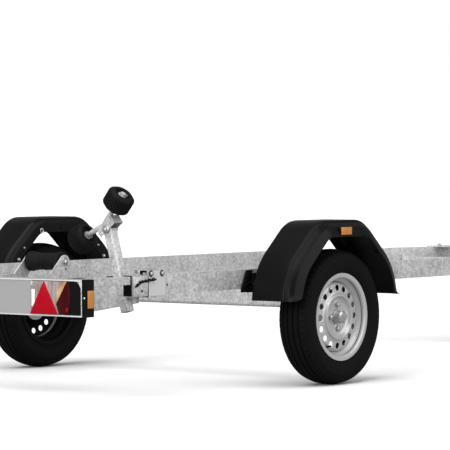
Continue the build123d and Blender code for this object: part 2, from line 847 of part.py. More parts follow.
for name, side in sides:
    with BuildPart() as lamp:
        with BuildSketch(cross_plane(board_x - lamp_proud, side * lamp_y, board_mid)):
            Rectangle(lamp_w, lamp_h)
            outer_corners = vertices().sort_by(Axis.X if side > 0 else Axis((0, 0, 0), (-1, 0, 0)))[-2:]
            fillet(outer_corners, lamp_corner)
        extrude(amount=lamp_depth)
    save(lamp.part, f"tail_lamp_{name}")

with BuildPart() as triangles:
    for name, side in sides:
        with BuildSketch(cross_plane(board_x - lamp_proud - triangle_t, side * triangle_y, board_mid)):
            Polygon(
                (-triangle_w / 2, -lamp_h / 2),
                (triangle_w / 2, -lamp_h / 2),
                (0, lamp_h / 2),
                align=None,
            )
        extrude(amount=triangle_t)
save(triangles.part, "warning_triangles")

with BuildPart() as board_arms:
    for name, side in sides:
        with BuildSketch(cross_plane(board_x + board_depth, side * rail_y, board_mid)):
            Rectangle(arm_plate_w, board_h)
        extrude(amount=arm_plate_t)
        with BuildSketch(cross_plane(board_x + board_depth + arm_plate_t, side * rail_y, arm_z)):
            box_section(arm_size, arm_size, arm_wall, arm_wall)
        extrude(amount=axle_x + arm_front_x - board_x - board_depth - arm_plate_t)
save(board_arms.part, "light_board_arms")

# ================================================================ coupling
head_low = ball_z - ball_mouth
head_rear = axle_x + drawbar_nose_x
channel_half = drawbar_half + channel_wall
with BuildPart() as coupling:
    with BuildSketch(Plane.XY.offset(head_low)):
        with Locations((ball_x, 0)):
            Circle(head_radius)
        with Locations((head_rear + head_root / 2, 0)):
            Rectangle(head_root, 2 * channel_half)
        make_hull()
    extrude(amount=rail_top + channel_wall - head_low)
    with BuildSketch(cross_plane(head_rear - channel_length, 0, rail_top + channel_wall - channel_drop / 2)):
        Rectangle(2 * channel_half, channel_drop)
    extrude(amount=channel_length)
    with BuildSketch(cross_plane(head_rear - channel_length, 0, rail_mid)):
        Rectangle(drawbar_w, rail_h)
    extrude(amount=channel_length, mode=Mode.SUBTRACT)
    bar((ball_x, 0, head_low), (ball_x, 0, ball_z), ball_bore, mode=Mode.SUBTRACT)
    with Locations((ball_x, 0, ball_z)):
        Sphere(ball_bore, mode=Mode.SUBTRACT)
save(coupling.part, "coupling_head")

handle_foot = rail_top + channel_wall
with BuildPart() as coupling_handle:
    with BuildSketch(side_plane(ball_x, 0, handle_foot)):
        Polygon(
            (-head_radius / 2, 0),
            (head_radius, 0),
            (handle_length, handle_rise),
            (handle_length, handle_rise + handle_t),
            (head_radius - handle_t, handle_t * 2),
            (-head_radius / 2, handle_t * 2),
            align=None,
        )
    extrude(amount=handle_w / 2, both=True)
save(coupling_handle.part, "coupling_handle")

# ================================================================ winch post, bow stop and winch
mast_x = axle_x + post_mast_x
foot_top = rail_top + foot_t
with BuildPart() as mast:
    with BuildSketch(Plane.XY.offset(rail_top)):
        with Locations((mast_x, 0)):
            Rectangle(foot_length, foot_w)
    extrude(amount=foot_t)
    with BuildSketch(Plane.XY.offset(foot_top)):
        with Locations((mast_x, 0)):
            box_section(mast_size, mast_size, mast_wall, rail_corner)
    extrude(amount=mast_top - foot_top)
    with BuildSketch(cross_plane(mast_x - mast_size / 2 - stop_arm_length, 0, stop_arm_z)):
        box_section(stop_arm, stop_arm, mast_wall, rail_corner)
    extrude(amount=stop_arm_length)
save(mast.part, "winch_post")

with BuildPart() as foot_clamp:
    with BuildSketch(Plane.XY.offset(rail_low - foot_t)):
        with Locations((mast_x, 0)):
            Rectangle(foot_length, foot_w)
    extrude(amount=foot_t)
    for x in (-foot_rod_x, foot_rod_x):
        for y in (-foot_rod_y, foot_rod_y):
            bar((mast_x + x, y, rail_low), (mast_x + x, y, rail_top), foot_rod_radius)
save(foot_clamp.part, "winch_post_clamp")

with BuildPart() as bow_stop:
    with BuildSketch(Plane.XY.offset(stop_arm_z - stop_h / 2)):
        with Locations((mast_x - mast_size / 2 - stop_arm_length, 0)):
            Polygon(
                (0, -stop_w / 2),
                (0, stop_w / 2),
                (-stop_depth, stop_w / 2),
                (-stop_depth + stop_notch, 0),
                (-stop_depth, -stop_w / 2),
                align=None,
            )
    extrude(amount=stop_h)
save(bow_stop.part, "bow_stop")

winch_top = mast_top + winch_base_t
with BuildPart() as winch:
    with BuildSketch(Plane.XY.offset(mast_top)):
        with Locations((mast_x, 0)):
            Rectangle(winch_length, 2 * winch_half)
    extrude(amount=winch_base_t)
    for side in (-1, 1):
        with BuildSketch(side_plane(mast_x, side * (winch_half - winch_side_t / 2), winch_top)):
            with Locations((0, drum_z)):
                Circle(winch_side_h - drum_z)
            with Locations((0, winch_side_t / 2)):
                Rectangle(winch_length, winch_side_t)
            make_hull()
        extrude(amount=winch_side_t / 2, both=True)
    drum_high = winch_top + drum_z
    bar(
        (mast_x, -winch_half, drum_high),
        (mast_x, winch_half, drum_high),
        winch_shaft_radius + running_gap,
        mode=Mode.SUBTRACT,
    )
save(winch.part, "winch_frame")

with BuildPart() as drum:
    bar((mast_x, -crank_y, drum_high), (mast_x, winch_half + side_play, drum_high), winch_shaft_radius)
    drum_half = winch_half - winch_side_t - winch_play
    bar((mast_x, -drum_half, drum_high), (mast_x, drum_half, drum_high), drum_radius)
    for side in (-1, 1):
        bar(
            (mast_x, side * (drum_half - drum_flange_t), drum_high),
            (mast_x, side * drum_half, drum_high),
            drum_flange_radius,
        )
    with BuildSketch(side_plane(mast_x, -crank_y, drum_high)):
        with Locations((0, -crank_length / 2)):
            SlotOverall(crank_length + crank_w, crank_w, rotation=90)
    extrude(amount=crank_t)
    bar(
        (mast_x, -crank_y - grip_length, drum_high - crank_length),
        (mast_x, -crank_y, drum_high - crank_length),
        grip_radius,
    )
save(drum.part, "winch_drum")

# ================================================================ jockey wheel
stand_x = axle_x + jockey_x
stand_y = -(drawbar_half + clamp_offset + jockey_tube_radius + clamp_wall)
with BuildPart() as jockey_clamp:
    with BuildSketch(Plane.XY.offset(rail_mid - clamp_h / 2)):
        with Locations((stand_x, stand_y)):
            Circle(jockey_tube_radius + clamp_wall)
        with Locations((stand_x, -drawbar_half - clamp_offset / 2)):
            Rectangle(2 * (jockey_tube_radius + clamp_wall), clamp_offset)
        make_hull()
        with Locations((stand_x, stand_y)):
            Circle(jockey_tube_radius, mode=Mode.SUBTRACT)
    extrude(amount=clamp_h)
save(jockey_clamp.part, "jockey_clamp")

leg_radius = jockey_tube_radius - jockey_tube_wall - running_gap
with BuildPart() as jockey_tube:
    with BuildSketch(Plane.XY.offset(jockey_tube_low)):
        with Locations((stand_x, stand_y)):
            Circle(jockey_tube_radius)
            Circle(jockey_tube_radius - jockey_tube_wall, mode=Mode.SUBTRACT)
    extrude(amount=jockey_tube_high - jockey_tube_low)
    bar(
        (stand_x, stand_y, jockey_tube_high),
        (stand_x, stand_y, jockey_tube_high + jockey_cap_t),
        jockey_tube_radius + jockey_cap_rim,
    )
    crank_z = jockey_tube_high + jockey_cap_t + 2 * jockey_crank_radius
    crank_end = (stand_x, stand_y - jockey_crank_reach, crank_z)
    bar(
        (stand_x, stand_y, jockey_tube_high + jockey_cap_t),
        (stand_x, stand_y, crank_z + 2 * jockey_crank_radius),
        2 * jockey_crank_radius,
    )
    bar((stand_x, stand_y, crank_z), crank_end, jockey_crank_radius)
    bar(
        Vector(*crank_end) - Vector(0, 0, 2 * jockey_crank_radius),
        Vector(*crank_end) + Vector(0, 0, jockey_grip_length),
        jockey_grip_radius,
    )
save(jockey_tube.part, "jockey_outer_tube")

with BuildPart() as leg:
    with BuildSketch(Plane.XY.offset(leg_low)):
        with Locations((stand_x, stand_y)):
            Circle(leg_radius)
            Circle(leg_radius - leg_wall, mode=Mode.SUBTRACT)
    extrude(amount=leg_high - leg_low)
save(leg.part, "jockey_leg")

fork_in = jockey_wheel_w / 2 + side_play
crown_top = leg_low - running_gap
crown_low = crown_top - fork_crown_t
castor_x = stand_x - fork_trail
with BuildPart() as fork:
    with BuildSketch(Plane.XY.offset(crown_low)):
        with Locations((stand_x, stand_y)):
            Circle(fork_in + fork_plate_t)
        with Locations((castor_x, stand_y)):
            Rectangle(2 * jockey_eye, 2 * (fork_in + fork_plate_t))
        make_hull()
    extrude(amount=fork_crown_t)
    for side in (-1, 1):
        with BuildSketch(side_plane(castor_x, stand_y + side * (fork_in + fork_plate_t / 2), 0)):
            with Locations((0, jockey_wheel_radius)):
                Circle(jockey_eye)
            with Locations((-fork_trail / 2, crown_low + fork_crown_t / 2)):
                Rectangle(fork_trail + jockey_eye, fork_crown_t)
            make_hull()
        extrude(amount=fork_plate_t / 2, both=True)
    bar(
        (stand_x, stand_y, crown_top),
        (stand_x, stand_y, crown_top + fork_stem),
        leg_radius - leg_wall - running_gap,
    )
    bar(
        (castor_x, stand_y - fork_in - fork_plate_t - jockey_pin_end, jockey_wheel_radius),
        (castor_x, stand_y + fork_in + fork_plate_t + jockey_pin_end, jockey_wheel_radius),
        jockey_pin_radius,
    )
save(fork.part, "jockey_fork")

with BuildPart() as jockey_wheel:
    bar(
        (castor_x, stand_y - jockey_wheel_w / 2, jockey_wheel_radius),
        (castor_x, stand_y + jockey_wheel_w / 2, jockey_wheel_radius),
        jockey_wheel_radius,
    )
    fillet(jockey_wheel.edges().filter_by(GeomType.CIRCLE), jockey_wheel_edge)
    bar(
        (castor_x, stand_y - jockey_wheel_w / 2, jockey_wheel_radius),
        (castor_x, stand_y + jockey_wheel_w / 2, jockey_wheel_radius),
        jockey_pin_radius + running_gap,
        mode=Mode.SUBTRACT,
    )
save(jockey_wheel.part, "jockey_wheel")
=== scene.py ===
"""The looks of a single-axle boat trailer: the finish of its frame, and the parts and fittings on it.

Named sizes and the values in tables are in millimetres unless a comment says otherwise, and the code works in
metres.
"""

import json
import math

import bmesh
import bpy
from bpy.props import FloatProperty, FloatVectorProperty, IntProperty, PointerProperty
from bpy.types import Operator, Panel, PropertyGroup
from mathutils import Matrix, Quaternion, Vector


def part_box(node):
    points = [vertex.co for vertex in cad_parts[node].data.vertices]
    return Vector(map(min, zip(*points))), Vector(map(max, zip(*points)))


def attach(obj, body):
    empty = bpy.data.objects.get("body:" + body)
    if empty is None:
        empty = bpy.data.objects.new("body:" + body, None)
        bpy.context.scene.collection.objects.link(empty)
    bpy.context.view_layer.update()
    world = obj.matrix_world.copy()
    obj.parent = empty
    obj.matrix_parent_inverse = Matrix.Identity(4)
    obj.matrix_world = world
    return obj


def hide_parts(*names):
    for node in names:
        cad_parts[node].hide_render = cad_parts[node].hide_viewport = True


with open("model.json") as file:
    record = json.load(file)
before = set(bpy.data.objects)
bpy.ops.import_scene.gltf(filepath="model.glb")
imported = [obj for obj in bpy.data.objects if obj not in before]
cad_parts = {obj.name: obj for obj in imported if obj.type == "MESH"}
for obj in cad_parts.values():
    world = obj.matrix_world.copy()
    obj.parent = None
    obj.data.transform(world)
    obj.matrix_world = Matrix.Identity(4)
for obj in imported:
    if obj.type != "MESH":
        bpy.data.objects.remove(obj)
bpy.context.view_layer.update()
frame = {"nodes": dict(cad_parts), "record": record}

bl_info = {
    "name": "Boat Trailer Looks",
    "version": (1, 0, 0),
    "blender": (4, 5, 0),
    "location": "View3D > Sidebar > Trailer",
    "description": "Finishes and fittings of a single-axle boat trailer, built on its frame",
    "category": "Add Mesh",
}

MM = 0.001
MEET = 1e-6  # metres, within which two points are one
MITRE_LIMIT = 0.3  # smallest cosine by which a parallel line's corner is drawn out
ALONG = 0.01  # length of a direction's share across a normal, below which the two run alike
M5, M8, M10, M12 = (thread * MM for thread in (5, 8, 10, 12))  # thread sizes, in metres
HEAVY, LIGHT = 1.2, 0.8  # threads of heavy and light bolts, in frame bolts
PIN_NUT = 11 * MM  # thread size, in metres, that a pin's or axle's nut is drawn for
SIDES = (("right", -1), ("left", 1))


def metres(row):
    """One row of values given in millimetres, in metres."""
    return tuple(value * MM for value in row)


def mm(*rows):
    """Rows of values given in millimetres, in metres."""
    return [metres(row) for row in rows]


# ---------------------------------------------------------------- settings


def length(name, description, millimetres):
    """A size property, given in millimetres and kept in metres."""
    return FloatProperty(name=name, description=description, unit="LENGTH", min=0, default=millimetres * MM)


def colour(name, description, red, green, blue):
    """A colour property in linear red, green and blue."""
    return FloatVectorProperty(
        name=name, description=description, subtype="COLOR", size=3, min=0, max=1, default=(red, green, blue)
    )


def amount(name, description, default):
    """A property that is a plain number."""
    return FloatProperty(name=name, description=description, default=default)


def angle(name, description, degrees):
    """An angle property, given in degrees."""
    return FloatProperty(name=name, description=description, unit="ROTATION", default=math.radians(degrees))


class TrailerStageSettings(PropertyGroup):
    """Camera, lights and floor"""

    camera_place: FloatVectorProperty(
        name="Camera place",
        description="Where the camera stands",
        unit="LENGTH",
        default=(-9.7124, -6.9419, 0.9013),
    )
    camera_lens: amount("Lens", "Focal length in millimetres", 202.23)
    camera_pan: angle("Pan", "Turn of the view from the trailer's forward direction", 38.148)
    camera_pitch: angle("Pitch", "How far the view looks down", 1.309)
    camera_roll: angle("Roll", "Turn of the picture about the line of sight", 0.233)
    key_strength: amount("Key light", "Strength of the sun behind the trailer", 2.3)
    top_strength: amount("Top light", "Strength of the sun overhead", 2.6)
    fill_strength: amount("Fill light", "Strength of the sun from the right", 1.6)
    sky_light: amount("Sky light", "Light from all around", 0.25)
    floor_half: length("Floor half size", "Half the side of the square floor", 60000)
    floor_seen: colour("Floor", "The floor as the camera sees it", 0.84, 0.84, 0.84)
    floor_bounce: colour("Floor bounce", "The floor in the light that it throws back", 0.35, 0.35, 0.35)


class TrailerColours(PropertyGroup):
    """Colours of the trailer's finishes"""

    zinc_light: colour("Galvanised, light", "Bright crystals of the dipped zinc", 0.72, 0.72, 0.72)
    zinc_dark: colour("Galvanised, dark", "Dull clouds of the dipped zinc", 0.27, 0.27, 0.27)
    plate_bright: colour("Zinc plate", "Bolts, pins and plated fittings", 0.52, 0.52, 0.52)
    wheel_silver: colour("Wheel silver", "Paint of the pressed wheels", 0.52, 0.52, 0.52)
    tyre_black: colour("Tyre black", "Tyre rubber", 0.0035, 0.0035, 0.0036)
    roller_black: colour("Roller black", "Rubber of the hull rollers", 0.007, 0.007, 0.0073)
    plastic_black: colour("Plastic black", "Moulded fenders and housings", 0.0035, 0.0035, 0.0036)
    board_grey: colour("Board aluminium", "Extruded light board", 0.40, 0.40, 0.40)
    # on the light board's lips this brighter colour paints the highlight along the board's edges
    board_bright: colour("Bright aluminium", "Edges of the light board and cheek plates", 0.64, 0.64, 0.64)
    lens_red: colour("Triangle red", "Warning triangles", 0.42, 0.0, 0.010)
    lens_dark_red: colour("Lamp red", "Stop and tail lens", 0.028, 0.0, 0.001)
    lens_amber: colour("Amber", "Side reflectors and indicator lens", 0.44, 0.14, 0.005)
    lens_pale_amber: colour("Pale amber", "Bright middle of an amber reflector", 0.80, 0.52, 0.26)
    lens_clear: colour("Clear lens", "Ribbed clear lens over its silver bowl", 0.26, 0.21, 0.20)
    lens_white: colour("White window", "Window of the number plate lamp", 0.85, 0.85, 0.84)


class TrailerSizes(PropertyGroup):
    """Sizes of the trailer's fittings"""

    tread_depth: length("Tread depth", "Depth of the tyre's main grooves", 7)
    tread_pitches: IntProperty(name="Tread pitches", description="Tread blocks around a tyre", default=64)
    lug_circle: length("Lug circle", "Radius of the circle of wheel bolts", 50)
    lug_count: IntProperty(name="Wheel bolts", description="Bolts that hold a wheel", default=4)
    vent_circle: length("Vent circle", "Radius of the circle of vent holes", 120)
    vent_radius: length("Vent radius", "Radius of a vent hole", 12.5)
    vent_count: IntProperty(name="Vents", description="Vent holes in a wheel", default=16)
    rib_count: IntProperty(name="Roller ribs", description="Ribs around a side roller", default=30)
    rib_height: length("Rib height", "Height of a side roller's ribs", 3)
    bolt_size: length("Frame bolt", "Thread size of the frame's bolts", 10)
    fender_wall: length("Fender wall", "Thickness of the moulded fenders", 4)
    lens_thickness: length("Lens thickness", "How far a lamp's lenses stand proud", 2.5)


# ---------------------------------------------------------------- finishes


def toned(tint, share):
    """A colour with each of its parts scaled."""
    return tuple(share * part for part in tint)


def find_socket(sockets, key):
    """The socket with this place, name or identifier."""
    if isinstance(key, int):
        return sockets[key]
    for socket in sockets:
        if socket.identifier == key or (socket.name == key and socket.enabled):
            return socket
    raise KeyError(key)


class Shade:
    """One output in a finish. Its operators add the Math nodes that an expression needs."""

    def __init__(self, finish, socket):
        self.finish = finish
        self.socket = socket

    def maths(self, operation, *values, clamp=False):
        settings = {"operation": operation, "use_clamp": clamp}
        return self.finish.node("Math", settings, dict(enumerate(values)))

    def __add__(self, other):
        return self.maths("ADD", self, other)

    def __sub__(self, other):
        return self.maths("SUBTRACT", self, other)

    def __mul__(self, other):
        return self.maths("MULTIPLY", self, other)

    __radd__ = __add__
    __rmul__ = __mul__

    def sine(self):
        return self.maths("SINE", self)

    def larger(self, other):
        return self.maths("MAXIMUM", self, other)

    def clamped(self):
        return self.maths("ADD", self, 0, clamp=True)

    def contrast(self, gain):
        """Spread the values about one half, and keep them between 0 and 1."""
        return ((self - 0.5) * gain + 0.5).clamped()


class Finish:
    """The node tree of a material or world under way, with one method that adds any node."""

    def __init__(self, owner):
        owner.use_nodes = True
        self.tree = owner.node_tree
        self.tree.nodes.clear()

    def node(self, kind, settings=None, sockets=None, output=0):
        """Add a node of this type, set its settings, feed its sockets and return one output."""
        made = self.tree.nodes.new("ShaderNode" + kind)
        for name, value in (settings or {}).items():
            setattr(made, name, value)
        for key, value in (sockets or {}).items():
            socket = find_socket(made.inputs, key)
            if isinstance(value, Shade):
                self.tree.links.new(value.socket, socket)
            elif socket.type == "RGBA":
                socket.default_value = (*value, 1)
            else:
                socket.default_value = value
        outputs = made.outputs
        return Shade(self, find_socket(outputs, output)) if outputs else None

    def place(self):
        """Position in the trailer's own frame, in metres."""
        return self.node("TexCoord", output="Object")

    def axes(self):
        """The three coordinates of the position, one by one."""
        place = self.place()
        return [self.node("SeparateXYZ", sockets={"Vector": place}, output=axis) for axis in "XYZ"]

    def stretched(self, x, y, z):
        """Position scaled along each axis, for grain that runs one way."""
        return self.node("VectorMath", {"operation": "MULTIPLY"}, {0: self.place(), 1: (x, y, z)})

    def noise(self, scale, detail=2, where=None):
        """Cloudy noise between 0 and 1, this many clouds to a metre."""
        sockets = {"Vector": where or self.place(), "Scale": scale, "Detail": detail}
        return self.node("TexNoise", sockets=sockets)

    def crystals(self, scale):
        """A random tone for each cell of a crystal pattern."""
        cells = self.node("TexVoronoi", sockets={"Vector": self.place(), "Scale": scale}, output="Color")
        return self.node("SeparateColor", sockets={"Color": cells}, output="Red")

    def mix(self, factor, low, high):
        """A colour between two colours."""
        sockets = {"Factor_Float": factor, "A_Color": low, "B_Color": high}
        return self.node("Mix", {"data_type": "RGBA"}, sockets, "Result_Color")

    def bump(self, height, distance, strength=0.5):
        """A bumped normal from a height between 0 and 1, for this many millimetres of relief."""
        return self.node("Bump", sockets={"Height": height, "Distance": distance * MM, "Strength": strength})

    def surface(self, **sockets):
        """Close the finish with one principled surface. Socket names have _ for each space."""
        named = {name.replace("_", " "): value for name, value in sockets.items()}
        shader = self.node("BsdfPrincipled", sockets=named)
        self.node("OutputMaterial", sockets={"Surface": shader})


def galvanised_steel(f, c):
    """Hot-dip zinc: small crystals under broad dull clouds, with fine pits."""
    clouds = f.noise(9, 5).contrast(2.6)
    blotches = f.noise(95, 4).contrast(3.2)
    spangle = f.crystals(150)
    runs = f.noise(42, 3, f.stretched(1, 1, 0.25)).contrast(2.4)
    pits = f.noise(480, 2)
    tone = (clouds * 0.20 + blotches * 0.36 + spangle * 0.24 + runs * 0.20).contrast(1.3)
    f.surface(
        Base_Color=f.mix(tone, c.zinc_dark, c.zinc_light),
        Metallic=0.35,
        Roughness=0.40 + spangle * 0.10 + clouds * 0.12,
        Normal=f.bump(spangle * 0.5 + pits * 0.5, 0.25),
    )


def zinc_plate(f, c):
    """Electroplated zinc on bolts and pressed fittings."""
    clouds = f.noise(60, 3).contrast(2)
    tone = clouds * 0.5 + 0.5
    f.surface(
        Base_Color=f.mix(tone, toned(c.plate_bright, 0.62), c.plate_bright),
        Metallic=0.85,
        Roughness=0.24 + clouds * 0.14,
        Normal=f.bump(f.noise(700, 2), 0.08),
    )


def silver_paint(f, c):
    """Silver wheel paint with fine flake under a thin lacquer."""
    flake = f.crystals(2600)
    orange_peel = f.noise(260, 2)
    dust = f.noise(14, 4).contrast(2)
    f.surface(
        Base_Color=f.mix(flake * 0.25 + dust * 0.2, c.wheel_silver, toned(c.wheel_silver, 0.8)),
        Metallic=0.5,
        Roughness=0.34 + flake * 0.06 + dust * 0.06,
        Coat_Weight=0.25,
        Coat_Roughness=0.2,
        Normal=f.bump(orange_peel, 0.08),
    )


def tyre_rubber(f, c):
    """Matt tyre rubber with a trace of dust and fine mould grain."""
    dust = f.noise(9, 5).contrast(2.4)
    grain = f.noise(900, 2)
    f.surface(
        Base_Color=f.mix(dust * 0.35, c.tyre_black, toned(c.tyre_black, 2.6)),
        Roughness=0.58 + dust * 0.16,
        Specular_IOR_Level=0.06,
        Normal=f.bump(grain, 0.12),
    )


def roller_rubber(f, c):
    """Moulded roller rubber, a little glossier than the tyres."""
    wear = f.noise(38, 4).contrast(2.2)
    f.surface(
        Base_Color=f.mix(wear * 0.4, c.roller_black, toned(c.roller_black, 2.4)),
        Roughness=0.46 + wear * 0.14,
        Specular_IOR_Level=0.05,
        Normal=f.bump(f.noise(600, 3), 0.15),
    )


def black_plastic(f, c):
    """Moulded black plastic with a fine leathery grain and faint flow marks."""
    flow = f.noise(5, 3, f.stretched(1, 0.4, 1)).contrast(2)
    grain = f.crystals(900)
    f.surface(
        Base_Color=f.mix(flow * 0.3, c.plastic_black, toned(c.plastic_black, 1.9)),
        Roughness=0.24 + grain * 0.06 + flow * 0.06,
        Specular_IOR_Level=0.10,
        Normal=f.bump(grain * 0.5 + f.noise(340, 2) * 0.5, 0.06),
    )


def black_paint(f, c):
    """Satin black paint over pressed steel, dusty in the hollows. It also paints the shade on the wheels'
    inboard sides and the shadow around the rails' end plates.
    """
    dust = f.noise(22, 4).contrast(2)
    f.surface(
        Base_Color=f.mix(dust * 0.4, c.plastic_black, toned(c.plastic_black, 2.2)),
        Roughness=0.46 + dust * 0.12,
        Specular_IOR_Level=0.06,
        Normal=f.bump(f.noise(300, 2), 0.08),
    )


def board_aluminium(f, c):
    """Extruded aluminium with die lines along its length."""
    lines = f.noise(60, 4, f.stretched(1, 0.02, 14)).contrast(2.4)
    smudge = f.noise(4, 3).contrast(1.8)
    f.surface(
        Base_Color=f.mix(lines * 0.5 + smudge * 0.3, toned(c.board_grey, 0.86), c.board_grey),
        Metallic=0.3,
        Roughness=0.34 + lines * 0.10,
        Normal=f.bump(lines, 0.06),
    )


def bright_aluminium(f, c):
    """Milled edges of the light board, brighter than its brushed face. On the lips this lighter colour paints
    the highlight along the board's edges.
    """
    lines = f.noise(90, 3, f.stretched(1, 0.05, 8)).contrast(2)
    f.surface(
        Base_Color=f.mix(lines * 0.6, c.board_bright, toned(c.board_bright, 0.82)),
        Metallic=0.2,
        Roughness=0.30 + lines * 0.10,
        Normal=f.bump(lines, 0.05),
    )


def prism_lens(f, deep, bright, pitch, glow):
    """A moulded lens whose inside is a grid of small prisms, with painted light in brighter patches here and
    there, as if lit from behind.
    """
    _, across, up = f.axes()
    turns = 2 * math.pi / (pitch * MM)
    first = (across * turns).sine()
    second = ((across * 0.5 + up * 0.866) * turns).sine()
    facets = first * second * 0.5 + 0.5
    patches = f.noise(26, 2).contrast(2.6)
    # patches times glow is painted light: random brighter patches on the lens
    tone = (facets * 0.25 + patches * glow).clamped()
    f.surface(
        Base_Color=f.mix(tone, deep, bright),
        Roughness=0.3 + facets * 0.1,
        Specular_IOR_Level=0.12,
        Normal=f.bump(facets, 0.25, 0.35),
    )


def red_reflector(f, c):
    """The warning triangle's prism red."""
    prism_lens(f, toned(c.lens_red, 0.82), c.lens_red, 3.2, 0.35)


def lamp_red(f, c):
    """The stop lamp's dark red, with brighter patches of painted highlight for the bulbs behind it."""
    prism_lens(f, c.lens_dark_red, toned(c.lens_dark_red, 2.4), 4.5, 0.45)


def amber_reflector(f, c):
    """Prism amber of the side reflectors."""
    prism_lens(f, c.lens_amber, c.lens_pale_amber, 3.2, 0.12)


def ribbed_lens(f, deep, bright, pitch):
    """A clear lens with upright ribs over a dark bowl."""
    _, across, _ = f.axes()
    ribs = (across * (2 * math.pi / (pitch * MM))).sine() * 0.5 + 0.5
    bowl = f.noise(30, 2, f.stretched(1, 1, 0.5)).contrast(2.6)
    f.surface(
        Base_Color=f.mix((ribs * 0.45 + bowl * 0.55).clamped(), deep, bright),
        Roughness=0.2 + ribs * 0.12,
        Specular_IOR_Level=0.2,
        Normal=f.bump(ribs, 0.6, 0.5),
    )


def clear_lens(f, c):
    """The clear reversing lens."""
    ribbed_lens(f, toned(c.lens_clear, 0.3), toned(c.lens_clear, 1.9), 7)


def amber_lens(f, c):
    """The indicator lens."""
    ribbed_lens(f, toned(c.lens_amber, 0.25), c.lens_pale_amber, 7)


def white_window(f, c):
    """The frosted window of the number plate lamp."""
    frost = f.noise(500, 2)
    f.surface(
        Base_Color=f.mix(frost * 0.3, c.lens_white, toned(c.lens_white, 0.85)),
        Roughness=0.3 + frost * 0.1,
        Coat_Weight=0.4,
        Normal=f.bump(frost, 0.05),
    )


def dark_recess(f, c):
    """Shadowed steel inside a hole."""
    # this noise only mottles the painted shadow inside the hole
    shadow_mottle = f.noise(300, 2)
    f.surface(
        Base_Color=f.mix(shadow_mottle, c.plastic_black, toned(c.plastic_black, 2)),
        Roughness=0.8 + shadow_mottle * 0.1,
        Specular_IOR_Level=0.1,
    )


FINISHES = {
    maker.__name__: maker
    for maker in (
        galvanised_steel,
        zinc_plate,
        silver_paint,
        tyre_rubber,
        roller_rubber,
        black_plastic,
        black_paint,
        board_aluminium,
        bright_aluminium,
        red_reflector,
        lamp_red,
        amber_reflector,
        clear_lens,
        amber_lens,
        white_window,
        dark_recess,
    )
}


def finish_named(name):
    """The material made by the finish of this name, which the first call makes."""
    title = f"trailer_{name}"
    if title not in bpy.data.materials:
        FINISHES[name](Finish(bpy.data.materials.new(title)), bpy.context.scene.trailer_colours)
    return bpy.data.materials[title]


# ---------------------------------------------------------------- outlines


def polar(radius, turn, *height):
    """The point at this radius, turned from the X axis, and at a height if one is given."""
    return Vector((radius * math.cos(turn), radius * math.sin(turn), *height))


def four(x, y):
    """The corners of a rectangle around the origin, from half its sides in millimetres."""
    return [(along * x * MM, across * y * MM) for along in (-1, 1) for across in (-1, 1)]


def pairs(line):
    """The points of a line as plain pairs."""
    return [(point.x, point.y) for point in line]


def mirrored(line):
    """A line that ends on the X axis, and its mirror image back from there."""
    return pairs(line) + [(point.x, -point.y) for point in line[-2::-1]]


def rounded(corners, steps=5):
    """A line through corners (x, y, radius), with an arc at each corner that has a radius."""
    line = []
    for number, (x, y, radius) in enumerate(corners):
        corner = Vector((x, y))
        if radius == 0 or number in (0, len(corners) - 1):
            line.append(corner)
            continue
        back = (Vector(corners[number - 1][:2]) - corner).normalized()
        ahead = (Vector(corners[number + 1][:2]) - corner).normalized()
        half = back.angle(ahead) / 2
        reach = radius / math.tan(half)
        centre = corner + (back + ahead).normalized() * (radius / math.sin(half))
        start = corner + back * reach - centre
        end = corner + ahead * reach - centre
        turn = start.angle_signed(end)
        for step in range(steps + 1):
            line.append(centre + Matrix.Rotation(-turn * step / steps, 2) @ start)
    return line


def sidesteps(line):
    """For each point of a line, the sideways step that keeps a parallel line one unit off."""
    steps = []
    for number, point in enumerate(line):
        before = (point - line[number - 1]).normalized() if number else None
        after = (line[number + 1] - point).normalized() if number + 1 < len(line) else None
        before, after = before or after, after or before
        middle = (before + after).normalized()
        steps.append(Vector((-middle.y, middle.x)) / max(MITRE_LIMIT, middle.dot(before)))
    return steps


def thick(line, thickness):
    """The closed outline of a sheet of this thickness, centred on a line."""
    steps = sidesteps(line)
    near = [point + step * (thickness / 2) for point, step in zip(line, steps)]
    far = [point - step * (thickness / 2) for point, step in zip(line, steps)]
    return near + far[::-1]


def height_at(line, x):
    """Height of a line at x, where the line's x falls or rises all along."""
    for start, end in zip(line, line[1:]):
        low, high = sorted((start.x, end.x))
        if low <= x <= high and high > low:
            return start.y + (end.y - start.y) * (x - start.x) / (end.x - start.x)
    return line[-1].y


def seat(place, normal, across=(1, 0, 0)):
    """A frame at a place, with its Z along the normal and its X as near across as it can be."""
    up = Vector(normal).normalized()
    side = Vector(across) - up * up.dot(Vector(across))
    if side.length < ALONG:
        side = up.orthogonal()
    side.normalize()
    turned = Matrix((side, up.cross(side), up)).transposed()
    return Matrix.Translation(place) @ turned.to_4x4()


def add_object(name, data):
    """Put new data into the scene as an object."""
    made = bpy.data.objects.new(name, data)
    bpy.context.scene.collection.objects.link(made)
    return made


WASHER_THICKNESS = 0.2  # in threads, as all of a bolt's sizes are
WASHER_LINE = ((0.5, 0), (1, 0), (1, 0.14), (0.94, 0.2), (0.5, 0.2))  # (radius, height)
HEAD_CORNER = 0.92
HEAD_HEIGHT = 0.65
HEAD_SOFT = 0.07
HEAD_TURN = 15  # degrees
CROWN_LINE = ((0.6, 0), (0.5, 0.06), (0, 0.1))  # (radius, height), on a head that shows no thread
EYELET_LIP = 0.3
EYELET_RIM = ((1.25, 0), (1.22, 1), (1, 1), (0.96, 0.1))  # (radius in holes, height in lips)
EYELET_FLOOR = ((0.97, 0.12), (0.6, 0.14), (0, 0.15))


